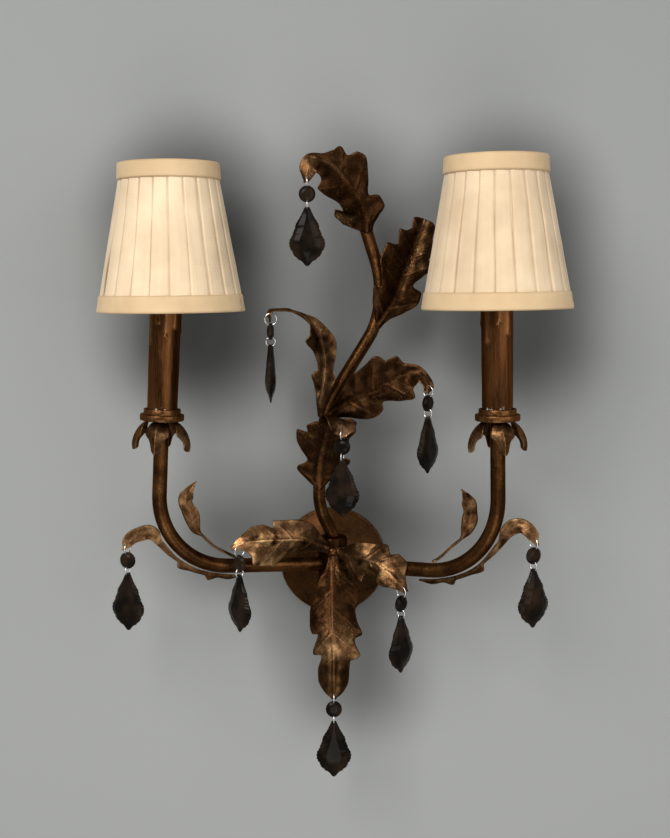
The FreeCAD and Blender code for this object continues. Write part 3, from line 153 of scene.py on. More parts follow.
def clamped(value: float) -> float:
    """A value held between 0 and 1."""
    return min(1.0, max(0.0, value))


def bent_path(places: Sequence[Vector], radius: float, steps: int = 24) -> list[Vector]:
    """Straight runs joined by round bends, as a tube bender makes them.

    Args:
        places: the corners with both ends.
        radius: wanted radius of each bend; short runs make it smaller.
        steps: points in each bend.

    Returns:
        Points along the path.
    """
    share_of_run = 0.45
    path = [places[0]]
    for before, corner, after in zip(places, places[1:], places[2:]):
        back, ahead = (before - corner).normalized(), (after - corner).normalized()
        half = math.acos(max(-1.0, min(1.0, back.dot(ahead)))) / 2
        room = share_of_run * min((before - corner).length, (after - corner).length)
        reach = min(radius / math.tan(half), room)
        bend = reach * math.tan(half)
        bisector = (back + ahead).normalized()
        centre = corner + bisector * (bend / math.sin(half))
        start, end = corner + back * reach - centre, corner + ahead * reach - centre
        turn = start.rotation_difference(end)
        for step in range(steps + 1):
            part = Matrix.Rotation(turn.angle * step / steps, 3, turn.axis)
            path.append(centre + part @ start)
    path.append(places[-1])
    return path


class MeshMaker:
    """Collects points and faces, and turns them into a finished object at the origin."""

    def __init__(self, name: str) -> None:
        """Starts an empty mesh under the piece's name."""
        self.name = name
        self.points: list[Vector] = []
        self.faces: list[tuple[int, ...]] = []
        self.slots: list[int] = []
        self.uvs: list[tuple[float, float]] = []
        self.values: dict[str, list[float]] = {}

    def add(self, point: Vector, uv: tuple[float, float] = (0.0, 0.0), **values: float) -> int:
        """Adds a point in millimetres with its UV and named values, and returns its number."""
        self.points.append(Vector(point) * MM)
        self.uvs.append(uv)
        for key, value in values.items():
            self.values.setdefault(key, []).append(value)
        return len(self.points) - 1

    def face(self, *corners: int, slot: int = 0) -> None:
        """Adds a face over numbered points."""
        self.faces.append(corners)
        self.slots.append(slot)

    def grid(self, rows: Sequence[Sequence[int]], closed: bool = False, slot: int = 0) -> None:
        """Joins rows of point numbers with four-cornered faces.

        Args:
            rows: rows of equal length.
            closed: whether each row runs round to its start.
            slot: material slot of the faces.
        """
        for low, high in zip(rows, rows[1:]):
            count = len(low)
            for index in range(count if closed else count - 1):
                after = (index + 1) % count
                self.face(low[index], low[after], high[after], high[index], slot=slot)

    def build(
        self, materials: Sequence[bpy.types.Material], smooth: bool = True
    ) -> bpy.types.Object:
        """Makes the object.

        Args:
            materials: its slots in order.
            smooth: whether its faces shade smoothly.

        Returns:
            The linked object, at the origin and unturned.
        """
        mesh = bpy.data.meshes.new(self.name)
        mesh.from_pydata(self.points, [], self.faces)
        layer = mesh.uv_layers.new(name="piece")
        for loop in mesh.loops:
            layer.data[loop.index].uv = self.uvs[loop.vertex_index]
        for key, values in self.values.items():
            attribute = mesh.attributes.new(key, "FLOAT", "POINT")
            attribute.data.foreach_set("value", values)
        for material in materials:
            mesh.materials.append(material)
        mesh.polygons.foreach_set("material_index", self.slots)
        mesh.polygons.foreach_set("use_smooth", [smooth] * len(mesh.polygons))
        mesh.validate()
        piece = bpy.data.objects.new(self.name, mesh)
        bpy.context.collection.objects.link(piece)
        return piece


def outward(piece: bpy.types.Object) -> bpy.types.Object:
    """Merges doubles and turns every face of a closed piece outwards.

    Args:
        piece: the piece to mend.

    Returns:
        The same piece.
    """
    shape = bmesh.new()
    shape.from_mesh(piece.data)
    bmesh.ops.remove_doubles(shape, verts=shape.verts, dist=1e-6)
    bmesh.ops.recalc_face_normals(shape, faces=shape.faces)
    shape.to_mesh(piece.data)
    shape.free()
    return piece


class NodeMaker:
    """Adds nodes to a tree, each with its settings and inputs."""

    tree: bpy.types.NodeTree

    def fill(self, socket: bpy.types.NodeSocket, value: object) -> None:
        """Gives a socket a plain value, or links it to the socket that the value is."""
        if isinstance(value, bpy.types.NodeSocket):
            self.tree.links.new(value, socket)
        else:
            socket.default_value = value

    def node(self, kind: str, inputs: Optional[dict] = None, **settings: object) -> bpy.types.Node:
        """Adds a node.

        Args:
            kind: its type's name.
            inputs: by socket name or number, a plain value or the socket to link.
            settings: its own properties.

        Returns:
            The node.
        """
        made = self.tree.nodes.new(kind)
        for key, value in settings.items():
            setattr(made, key, value)
        for key, value in (inputs or {}).items():
            self.fill(made.inputs[key], value)
        return made

    def math(self, operation: str, *values: object) -> bpy.types.NodeSocket:
        """Adds a Math node on plain values or sockets and returns its result."""
        return self.node("ShaderNodeMath", dict(enumerate(values)), operation=operation).outputs[0]

    def plus(self, first: object, second: object) -> bpy.types.NodeSocket:
        """Adds two values or sockets."""
        return self.math("ADD", first, second)

    def product(self, first: object, *others: object) -> bpy.types.NodeSocket:
        """Multiplies values or sockets in their order."""
        for other in others:
            first = self.math("MULTIPLY", first, other)
        return first


class Recipe(NodeMaker):
    """A Geometry Nodes tree that is run once on a mesh and leaves a plain mesh behind."""

    def __init__(self, name: str) -> None:
        """Makes the tree with its geometry sockets."""
        self.tree = bpy.data.node_groups.new(name, "GeometryNodeTree")
        sockets = self.tree.interface
        for way in ("INPUT", "OUTPUT"):
            sockets.new_socket("Geometry", in_out=way, socket_type="NodeSocketGeometry")
        self.start = self.tree.nodes.new("NodeGroupInput")
        self.end = self.tree.nodes.new("NodeGroupOutput")
        self.keys: dict[str, str] = {}

    def size(self, name: str, default: float, kind: str = "Float") -> bpy.types.NodeSocket:
        """Adds a named input of the tree and returns its socket inside."""
        sockets = self.tree.interface
        made = sockets.new_socket(name, in_out="INPUT", socket_type="NodeSocket" + kind)
        made.default_value = default
        self.keys[name] = made.identifier
        return self.start.outputs[name]

    def finish(self, geometry: bpy.types.NodeSocket, material: bpy.types.Material) -> None:
        """Ends the tree with real geometry, smooth shading and a material."""
        real = self.node("GeometryNodeRealizeInstances", {0: geometry})
        smooth = self.node("GeometryNodeSetShadeSmooth", {0: real.outputs[0]})
        dressed = self.node("GeometryNodeSetMaterial", {0: smooth.outputs[0], "Material": material})
        self.tree.links.new(dressed.outputs[0], self.end.inputs[0])

    def run(self, piece: bpy.types.Object, **sizes: float) -> bpy.types.Object:
        """Runs the tree on a piece and leaves its result as a plain mesh.

        Args:
            piece: the object whose mesh goes in.
            sizes: values of the tree's named inputs.

        Returns:
            The same object.
        """
        modifier = piece.modifiers.new(self.tree.name, "NODES")
        modifier.node_group = self.tree
        for name, value in sizes.items():
            modifier[self.keys[name]] = value
        evaluated = piece.evaluated_get(bpy.context.evaluated_depsgraph_get())
        result = bpy.data.meshes.new_from_object(evaluated)
        piece.modifiers.remove(modifier)
        piece.data = result
        return piece


class TubeRecipe(Recipe):
    """Follows paths with a round bar."""

    def __init__(self, name: str, material: bpy.types.Material) -> None:
        """Builds the tree for one finish."""
        super().__init__(name)
        radius = self.size("Radius", 0.001)
        sides = self.size("Sides", 12, "Int")
        curve = self.node("GeometryNodeMeshToCurve", {0: self.start.outputs[0]})
        sizes = {"Resolution": sides, "Radius": radius}
        ring = self.node("GeometryNodeCurvePrimitiveCircle", sizes)
        inputs = {0: curve.outputs[0], 1: ring.outputs[0], "Fill Caps": True}
        skin = self.node("GeometryNodeCurveToMesh", inputs)
        self.finish(skin.outputs[0], material)

    def follow(
        self,
        name: str,
        paths: Sequence[Sequence[Vector]],
        radius: float,
        sides: int = 12,
        closed: bool = False,
    ) -> bpy.types.Object:
        """Makes one piece of bars along paths.

        Args:
            name: the piece's name.
            paths: points of each path in millimetres.
            radius: the bar's radius in millimetres.
            sides: faces around the bar.
            closed: whether each path runs round to its start.

        Returns:
            The finished piece.
        """
        mesh = bpy.data.meshes.new(name)
        points, edges = [], []
        for path in paths:
            first = len(points)
            points += [Vector(point) * MM for point in path]
            edges += [(first + step, first + step + 1) for step in range(len(path) - 1)]
            if closed:
                edges.append((len(points) - 1, first))
        mesh.from_pydata(points, edges, [])
        piece = bpy.data.objects.new(name, mesh)
        bpy.context.collection.objects.link(piece)
        return self.run(piece, Radius=radius * MM, Sides=sides)


class RoundRecipe(Recipe):
    """Repeats a piece evenly round Z, such as petals round a ring."""

    def __init__(self, name: str, material: bpy.types.Material) -> None:
        """Builds the tree for one finish."""
        super().__init__(name)
        count = self.size("Count", 6, "Int")
        first = self.size("First angle", 0.0)
        places = self.node("GeometryNodePoints", {"Count": count})
        number = self.node("GeometryNodeInputIndex").outputs[0]
        step = self.math("DIVIDE", math.tau, count)
        angle = self.plus(self.product(number, step), first)
        turn = self.node("ShaderNodeCombineXYZ", {"Z": angle})
        spread = self.node(
            "GeometryNodeInstanceOnPoints",
            {
                "Points": places.outputs[0],
                "Instance": self.start.outputs[0],
                "Rotation": turn.outputs[0],
            },
        )
        self.finish(spread.outputs[0], material)


def moved(piece: bpy.types.Object, place: Matrix) -> bpy.types.Object:
    """Puts a piece's mesh where it stands; the place's distances are in millimetres."""
    metres = place.copy()
    metres.translation = place.translation * MM
    piece.data.transform(metres)
    return piece


def fitted(piece: bpy.types.Object, body: str, node: str) -> bpy.types.Object:
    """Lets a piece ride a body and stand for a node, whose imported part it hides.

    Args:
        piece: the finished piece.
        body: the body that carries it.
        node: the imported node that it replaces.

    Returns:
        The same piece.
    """
    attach(piece, body)
    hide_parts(node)
    return piece


def straight_reading(table: Table, share: float) -> float:
    """Reads a table of (share, value) pairs along straight runs between them."""
    for (low, first), (high, second) in zip(table, table[1:]):
        if share <= high:
            return first + (second - first) * (share - low) / (high - low)
    return table[-1][1]


def opaque(colour: object) -> object:
    """A plain colour with its fourth part; a socket or a number stays as it is."""
    return (*colour, 1.0) if isinstance(colour, tuple) else colour


class Shader(NodeMaker):
    """A material whose nodes read the piece's own place and attributes."""

    def __init__(self, name: str) -> None:
        """Starts a material with a lone Principled shader."""
        self.material = bpy.data.materials.new(name)
        self.material.use_nodes = True
        self.tree = self.material.node_tree
        self.surface = self.tree.nodes["Principled BSDF"]
        self.place = self.tree.nodes.new("ShaderNodeTexCoord").outputs["Object"]

    def set(self, **values: object) -> None:
        """Sets sockets of the surface; underscores in the names stand for spaces."""
        for key, value in values.items():
            self.fill(self.surface.inputs[key.replace("_", " ")], opaque(value))

    def noise(
        self, scale: float, detail: float, stretch: Colour = (1, 1, 1)
    ) -> bpy.types.NodeSocket:
        """Noise of a number of grains to the metre, drawn out along the axes by stretch."""
        mapped = self.node("ShaderNodeMapping", {"Vector": self.place, "Scale": stretch})
        inputs = {"Vector": mapped.outputs[0], "Scale": scale, "Detail": detail}
        return self.node("ShaderNodeTexNoise", inputs).outputs[0]

    def attribute(self, name: str) -> bpy.types.NodeSocket:
        """A named value of the piece's points."""
        return self.node("ShaderNodeAttribute", attribute_name=name).outputs["Fac"]

    def band(self, value: object, low: float, high: float) -> bpy.types.NodeSocket:
        """Stretches the part of a value between low and high to 0 to 1."""
        inputs = {"Value": value, "From Min": low, "From Max": high}
        return self.node("ShaderNodeMapRange", inputs).outputs[0]

    def mix(self, share: object, first: object, second: object) -> bpy.types.NodeSocket:
        """Mixes two colours, each a colour or a socket."""
        inputs = {0: share, 6: opaque(first), 7: opaque(second)}
        return self.node("ShaderNodeMix", inputs, data_type="RGBA").outputs[2]

    def capped(self, value: object) -> bpy.types.NodeSocket:
        """A value that goes no higher than 1."""
        return self.math("MINIMUM", value, 1.0)

    def bump(self, height: bpy.types.NodeSocket, depth: float, strength: float = 0.5) -> None:
        """Roughens the surface by a height, depth in millimetres."""
        inputs = {"Height": height, "Distance": depth * MM, "Strength": strength}
        self.set(Normal=self.node("ShaderNodeBump", inputs).outputs[0])


@dataclass(frozen=True)
class PlainFinish:
    """A finish of one colour with faint marks of handling."""

    name: str
    colour: Colour
    metallic: float = 0.0
    roughness: float = 0.5
    transmission: float = 0.0
    marks: float = 300.0
    dulling: float = 0.82

    def material(self) -> bpy.types.Material:
        """Makes the material."""
        made = Shader(self.name)
        marks = made.noise(self.marks, 5)
        dull = tuple(self.dulling * part for part in self.colour)
        smoothest = 0.5 - 2.4 * self.roughness
        roughest = 0.5 + 3.6 * (1 - self.roughness)
        made.set(
            Base_Color=made.mix(made.band(marks, 0.35, 0.75), self.colour, dull),
            Metallic=self.metallic,
            Roughness=made.band(marks, smoothest, roughest),
            Transmission_Weight=self.transmission,
        )
        return made.material


@dataclass(frozen=True)
class CrystalFinish:
    """Cut black glass, with faint brown clouds painted in as light caught in its facets."""

    name: str
    black: Colour
    painted_inner_light: Colour
    clouds: float = 60.0
    roughness: float = 0.14
    index: float = 1.5
    reflection: float = 0.07

    def material(self) -> bpy.types.Material:
        """Makes the material."""
        made = Shader(self.name)
        cloud = made.band(made.noise(self.clouds, 2), 0.42, 0.75)
        made.set(
            Base_Color=made.mix(cloud, self.black, self.painted_inner_light),
            Roughness=self.roughness,
            IOR=self.index,
            Specular_IOR_Level=self.reflection,
        )
        return made.material


@dataclass(frozen=True)
class BronzeFinish:
    """Dark bronze with brown patches, paler where rubbed and where light is painted on, and flecks of gold on high
    places.

    The attribute wear brings the copper out. The rubbing attribute brings the paler set of colours, which is
    rubbed bronze and painted light on faces turned to the lamps, and painted glints of gold. Chalk brings white
    specks. The numbers of grains are to the metre.
    """

    name: str
    dark: Colour
    brown: Colour
    copper: Colour
    gold: Colour = (0.80, 0.52, 0.22)
    white: Colour = (0.72, 0.68, 0.60)
    tint: Colour = (0.62, 0.42, 0.26)
    gilding: float = 0.5
    streaks: Colour = (1, 1, 1)
    hammer: float = 0.5
    shine: float = 2.1
    # The paler set: rubbed bronze, and painted light where a leaf faces the lamps.
    rubbed: tuple[Colour, Colour, Colour] = (
        (0.10, 0.045, 0.019), (0.33, 0.165, 0.076), (0.70, 0.42, 0.21),
    )
    patch_grains: float = 48.0
    fine_grains: float = 420.0
    fleck_grains: float = 850.0
    island_grains: float = 30.0
    glint_grains: float = 95.0
    speck_grains: float = 520.0
    hammer_grains: float = 150.0

    def material(self) -> bpy.types.Material:
        """Makes the material."""
        made = Shader(self.name)
        wear, rub, chalk = (made.attribute(name) for name in ("wear", "rub", "chalk"))
        patches = made.band(made.noise(self.patch_grains, 6, self.streaks), 0.36, 0.66)
        grain = made.noise(self.fine_grains, 6, self.streaks)
        flecks = made.band(made.noise(self.fleck_grains, 3, self.streaks), 0.55, 0.66)
        islands = made.band(made.noise(self.island_grains, 2), 0.50, 0.64)
        clouds = made.band(made.noise(self.glint_grains, 4), 0.50, 0.72)
        high = made.capped(made.product(wear, made.band(grain, 0.25, 0.75)))
        raised = made.plus(made.product(wear, 0.5), 0.15)
        # Painted glints: gold highlights laid on as colour where the rubbing attribute is high.
        glints = made.plus(clouds, made.product(flecks, 0.35))
        gilt_and_glints = made.product(flecks, islands, self.gilding, raised)
        gilt_and_glints = made.plus(gilt_and_glints, made.product(rub, glints, 0.5))
        base = made.mix(high, made.mix(patches, self.dark, self.brown), self.copper)
        pale = made.mix(high, made.mix(patches, *self.rubbed[:2]), self.rubbed[2])
        base = made.mix(made.capped(rub), base, pale)
        base = made.mix(made.capped(gilt_and_glints), base, self.gold)
        specks = made.product(made.band(made.noise(self.speck_grains, 2), 0.58, 0.62), chalk)
        made.set(
            Base_Color=made.mix(specks, base, self.white),
            Metallic=made.band(specks, 1.0, -0.1),
            Specular_Tint=self.tint,
            Roughness=made.band(grain, -0.30, self.shine),
        )
        dents = made.product(made.noise(self.hammer_grains, 3, self.streaks), 2.0)
        made.bump(made.plus(grain, dents), self.hammer)
        return made.material


@dataclass(frozen=True)
class ClothFinish:
    """Fine woven cloth with a soft sheen, darkened by the attribute shade, which holds painted shade, painted
    shadow lines and a random tone.
    """

    name: str
    colour: Colour
    shade: Colour
    threads: float = 110.0
    sheen: float = 0.3
    roughness: float = 0.75
    cloud_grains: float = 26.0
    weave_depth: float = 0.08

    def material(self) -> bpy.types.Material:
        """Makes the material."""
        made = Shader(self.name)
        uv = made.node("ShaderNodeUVMap", uv_map="piece").outputs[0]
        inputs = {"Vector": uv, "Scale": self.threads, "Distortion": 0.6, "Detail": 1.0}
        weave = [
            made.node("ShaderNodeTexWave", inputs, bands_direction=way).outputs[1] for way in "XY"
        ]
        clouds = made.band(made.noise(self.cloud_grains, 3), 0.3, 1.7)
        tone = made.capped(made.plus(made.attribute("shade"), clouds))
        made.set(
            Base_Color=made.mix(tone, self.colour, self.shade),
            Roughness=self.roughness,
            Sheen_Weight=self.sheen,
            Sheen_Roughness=0.4,
        )
        made.bump(made.plus(*weave), self.weave_depth)
        return made.material


FINISHES = (
    BronzeFinish(
        "leaf_bronze", (0.009, 0.0035, 0.0013), (0.023, 0.0088, 0.0028), (0.115, 0.045, 0.0145),
        gilding=0.45, hammer=0.3,
    ),
    BronzeFinish(
        "leaf_underside", (0.05, 0.026, 0.014), (0.16, 0.085, 0.045), (0.26, 0.14, 0.075),
        gilding=0.1, rubbed=((0.10, 0.055, 0.03), (0.26, 0.145, 0.08), (0.45, 0.27, 0.15)),
    ),
    BronzeFinish("arm_bronze", (0.036, 0.0145, 0.0045), (0.118, 0.05, 0.0165), (0.3, 0.14, 0.052)),
    # The plate's bronze is darker than the arms': painted shade that offsets the front light falling on the plate.
    BronzeFinish(
        "plate_bronze", (0.010, 0.004, 0.0013), (0.060, 0.023, 0.007), (0.34, 0.165, 0.065),
        gilding=0.2, shine=1.3,
    ),
    BronzeFinish(
        "candle_bronze", (0.026, 0.009, 0.0035), (0.125, 0.046, 0.014), (0.40, 0.19, 0.07),
        gilding=0.3, streaks=(2.6, 2.6, 0.24), hammer=0.35,
    ),
    ClothFinish("pleated_silk", (0.92, 0.745, 0.52), (0.30, 0.17, 0.075)),
    ClothFinish("satin_band", (0.76, 0.57, 0.345), (0.36, 0.22, 0.10), threads=160.0, sheen=0.15),
    CrystalFinish("black_crystal", (0.005, 0.004, 0.003), (0.028, 0.017, 0.010)),
    PlainFinish("chrome_wire", (0.86, 0.86, 0.84), 1.0, 0.16),
    PlainFinish("lamp_glass", (1.0, 1.0, 0.98), 0.0, 0.02, 1.0),
    PlainFinish("clip_brass", (0.62, 0.44, 0.18), 1.0, 0.3),
    PlainFinish("frame_white", (0.8, 0.78, 0.72), 0.0, 0.4),
    PlainFinish("zinc_steel", (0.55, 0.55, 0.53), 1.0, 0.35),
    PlainFinish("holder_black", (0.02, 0.02, 0.02), 0.0, 0.4),
    PlainFinish("flex_cover", (0.6, 0.57, 0.5), 0.0, 0.5),
)
Finishes = dict[str, bpy.types.Material]


@dataclass(frozen=True)
class Stand:
    """Where one candle stands, in millimetres, with the inward leans in degrees."""

    reach: float
    forward: float
    base: float
    lean: float
    shade_lean: float


@dataclass(frozen=True)
class Mechanics:
    """Sizes and places that the scene shares with the solids, in millimetres."""

    hub_forward: float = 42.0
    hub_radius: float = 13.0
    hub_top: float = 32.0
    arm_radius: float = 6.35
    arm_rise: float = 6.0
    arm_corner: float = 17.0
    arm_bend: float = 82.0
    arm_stub: float = 13.0
    left: Stand = Stand(reach=147.2, forward=100.0, base=145.5, lean=2.4, shade_lean=-0.6)
    right: Stand = Stand(reach=138.4, forward=127.0, base=148.5, lean=0.8, shade_lean=0.8)
    rivet_height: float = 187.6
    stem_height: float = 280.0
    stem_radius: float = 5.6
    stem_sunk: float = 8.0
    screw_height: float = 21.0

    def stood(self, side: Side) -> Stand:
        """Where a side's candle stands."""
        return self.left if side is Side.LEFT else self.right

    def candle(self, side: Side) -> tuple[Vector, Vector]:
        """Foot of a candle's axis under its pan, and the axis."""
        own = self.stood(side)
        foot = Vector((side.value * own.reach, -own.forward, own.base))
        return foot, self.leaning(side, own.lean)

    @staticmethod
    def leaning(side: Side, degrees: float) -> Vector:
        """Upward direction that leans in from a side."""
        lean = math.radians(degrees)
        return Vector((-side.value * math.sin(lean), 0, math.cos(lean)))

    def stand(self, side: Side) -> Matrix:
        """Matrix of all that stands on a candle's axis, in millimetres."""
        return self.aimed(*self.candle(side))

    def shade(self, side: Side) -> Matrix:
        """Matrix of a shade, which turns about the clip's rivet."""
        foot, axis = self.candle(side)
        upright = self.leaning(side, self.stood(side).shade_lean)
        return self.aimed(foot + (axis - upright) * self.rivet_height, upright)

    @staticmethod
    def aimed(place: Vector, axis: Vector) -> Matrix:
        """Matrix whose Z is an axis through a place."""
        return Matrix.Translation(place) @ UP.rotation_difference(axis).to_matrix().to_4x4()

    def arm(self, side: Side, start: float) -> list[Vector]:
        """The arm's centre line from a distance outside the hub's axis."""
        foot, axis = self.candle(side)
        corner = foot - axis * ((foot.z - self.arm_corner) / axis.z)
        root = Vector((0, -self.hub_forward, self.arm_rise))
        inward = (corner - root).normalized()
        places = [root + inward * start, corner, foot + axis * self.arm_stub]
        return bent_path(places, self.arm_bend)

    def stem(self) -> list[Vector]:
        """The branch's centre line."""
        shares = (
            (0.0, 0.0, 0.0), (-0.045, -0.03, 0.10), (-0.04, -0.045, 0.40), (0.145, -0.05, 0.70),
            (0.155, -0.045, 0.84), (0.105, -0.03, 1.0),
        )
        foot = Vector((0, -self.hub_forward, self.hub_top))
        places = [foot + Vector(share) * self.stem_height for share in shares]
        return bent_path([foot - UP * self.stem_sunk, *places], self.stem_height, 10)


def along(path: Sequence[Vector], share: float) -> tuple[Vector, Vector]:
    """Finds a share of a path's length.

    Args:
        path: the path's points.
        share: 0 at its start and 1 at its end.

    Returns:
        The point there and the path's direction.
    """
    runs = [(after - before).length for before, after in zip(path, path[1:])]
    left = share * sum(runs)
    for index, run in enumerate(runs):
        if left <= run or index == len(runs) - 1:
            break
        left -= run
    way = (path[index + 1] - path[index]).normalized()
    return path[index] + way * left, way


def scaled(table: Table, length: float) -> list[tuple[float, float]]:
    """An edge table with its widths turned from shares into millimetres."""
    return [(share, width * length) for share, width in table]


def outer_loop(rows: Sequence[Sequence[int]]) -> list[int]:
    """Point numbers once round the outer edge of a grid."""
    loop = [row[0] for row in rows] + list(rows[-1][1:])
    loop += [row[-1] for row in reversed(rows[:-1])]
    return loop + list(reversed(rows[0][1:-1]))


@dataclass(frozen=True)
class Pressing:
    """The relief that a die and a hammer leave in a leaf: heights and widths in millimetres."""

    ridge: float = 0.8
    ridge_width: float = 1.3
    groove: float = 0.35
    groove_place: float = 2.8
    groove_width: float = 1.4
    vein: float = 0.42
    vein_slant: float = 0.05
    fine: float = 0.06
    fine_pitch: float = 3.4
    fine_slant: float = 0.35
    belly: float = 1.4
    belly_width: float = 14.0
    depth: float = 0.8
    dent: float = 0.8
    dent_width: float = 9.0
    grain: float = 0.12
    grain_width: float = 3.5

    def relief(
        self, share: float, width: float, edge: float, peaks: Sequence[float], length: float
    ) -> tuple[float, float]:
        """Reads the die at a place of the leaf.

        Args:
            share: the place's share of the midrib.
            width: its distance from the midrib.
            edge: the edge's distance there.
            peaks: shares at which this side has lobes, each with a vein.
            length: the midrib's length.

        Returns:
            Height above the plain sheet, and how far the finish is worn.
        """
        taper = 1 - 0.5 * share
        ridge = bell(width, self.ridge_width) * taper
        groove = bell(width - self.groove_place, self.groove_width) * taper
        out = min(width / max(edge, 1.0), 1.0)
        roots = [peak - self.vein_slant * (1 - out) for peak in peaks]
        vein = max((bell((share - root) * length, 1.0) for root in roots), default=0.0)
        vein *= min(1.0, width / 2.0) * (1 - 0.7 * out)
        wave = math.tau * (share * length - self.fine_slant * width) / self.fine_pitch
        fine = 0.5 + 0.5 * math.sin(wave)
        fine *= min(1.0, width / 3.0) * (1 - out**4)
        belly = math.sin(math.pi * out) * min(edge, self.belly_width) / self.belly_width
        lift = self.ridge * ridge - self.groove * groove + self.vein * vein
        lift += self.fine * fine + self.belly * belly
        worn = 0.75 * ridge + 0.50 * vein + 0.12 * fine + 0.7 * out**11
        return lift * self.depth, min(1.0, worn)

    def unevenness(self, spot: Vector) -> float:
        """How far the hammer has lifted the sheet at a place."""
        dents = noise.noise(spot / self.dent_width) * self.dent
        return dents + noise.noise(spot / self.grain_width) * self.grain


@dataclass
class Leaf:
    """A sheet metal leaf: its midrib, the way it faces, its fold and the lobes of its edges."""

    name: str
    rib: list[Vector]
    facing: list[Vector]
    fold: Table
    rake: float
    right: Table
    left: Table
    rub: Table
    thickness: float = 0.8
    stations: int = 140
    lateral: int = 14
    pressed: float = 1.0
    pressing: Pressing = Pressing()
    steps: int = 160

    def track(self) -> list[float]:
        """Running length of the midrib at evenly numbered steps."""
        places = [curve_point(self.rib, step / self.steps) for step in range(self.steps + 1)]
        runs = [0.0]
        for last, here in zip(places, places[1:]):
            runs.append(runs[-1] + (here - last).length)
        return runs

    def axes(self, share: float, runs: Sequence[float]) -> tuple[Vector, Vector, Vector, Vector]:
        """Finds a share of the midrib's length.

        Args:
            share: 0 at the root and 1 at the tip.
            runs: the midrib's running length.

        Returns:
            The point there, and the directions along it, to its right and out of its face.
        """
        wanted = share * runs[-1]
        step = 1
        while step < self.steps and runs[step] < wanted:
            step += 1
        here = (step - 1 + (wanted - runs[step - 1]) / (runs[step] - runs[step - 1])) / self.steps
        ahead = curve_point(self.rib, min(here + 1 / self.steps, 1.0))
        behind = curve_point(self.rib, max(here - 1 / self.steps, 0.0))
        way = (ahead - behind).normalized()
        spot = share * (len(self.facing) - 1)
        index = min(int(spot), len(self.facing) - 2)
        facing = self.facing[index].lerp(self.facing[index + 1], spot - index)
        right = way.cross(facing).normalized()
        return curve_point(self.rib, here), way, right, right.cross(way)

    @staticmethod
    def peaks(table: Table) -> list[float]:
        """Shares of the midrib where an edge has a lobe."""
        return [
            here[0]
            for before, here, after in zip(table, table[1:], table[2:])
            if here[1] > before[1] and here[1] >= after[1]
        ]

    def build(self, finishes: Finishes) -> bpy.types.Object:
        """Makes the pressed and hammered leaf.

        Args:
            finishes: the lamp's materials.

        Returns:
            The leaf as one closed sheet with a front and an underside finish.
        """
        runs = self.track()
        maker = MeshMaker(self.name)
        fronts, backs = [], []
        tables = {-1: self.left, 1: self.right}
        peaks = {sign: self.peaks(table) for sign, table in tables.items()}
        slope = math.tan(math.radians(self.rake))
        for station in range(self.stations + 1):
            share = station / self.stations
            point, way, right, out = self.axes(share, runs)
            half = out * (self.thickness / 2)
            angle = math.radians(smooth_reading(self.fold, share))
            edges = {sign: smooth_reading(table, share) for sign, table in tables.items()}
            rubbed = straight_reading(self.rub, share)
            front, back = [], []
            for column in range(-self.lateral, self.lateral + 1):
                sign = -1 if column < 0 else 1
                part = abs(column) / self.lateral
                width = edges[sign] * part
                spot = point + right * (sign * width * math.cos(angle))
                spot += out * (width * math.sin(angle)) + way * (width * slope)
                height, wear = self.pressing.relief(
                    share, width, edges[sign], peaks[sign], runs[-1]
                )
                rough = self.pressing.unevenness(spot) * min(1.0, part * 3)
                lift = out * ((height + rough) * self.pressed)
                # Rubbing and painted highlight together, unevenly spread.
                rub = rubbed * clamped(0.85 + 1.3 * noise.noise(spot / 7.0))
                uv = (share, sign * part)
                front.append(maker.add(spot + lift + half, uv, wear=wear, rub=rub))
                back.append(maker.add(spot + lift - half, uv, wear=wear * 0.5, rub=rub))
            fronts.append(front)
            backs.append(back)
        maker.grid(fronts)
        maker.grid([list(reversed(row)) for row in backs], slot=1)
        maker.grid([outer_loop(fronts), outer_loop(backs)], closed=True)
        return outward(maker.build([finishes["leaf_bronze"], finishes["leaf_underside"]]))


SPAN = 100.0
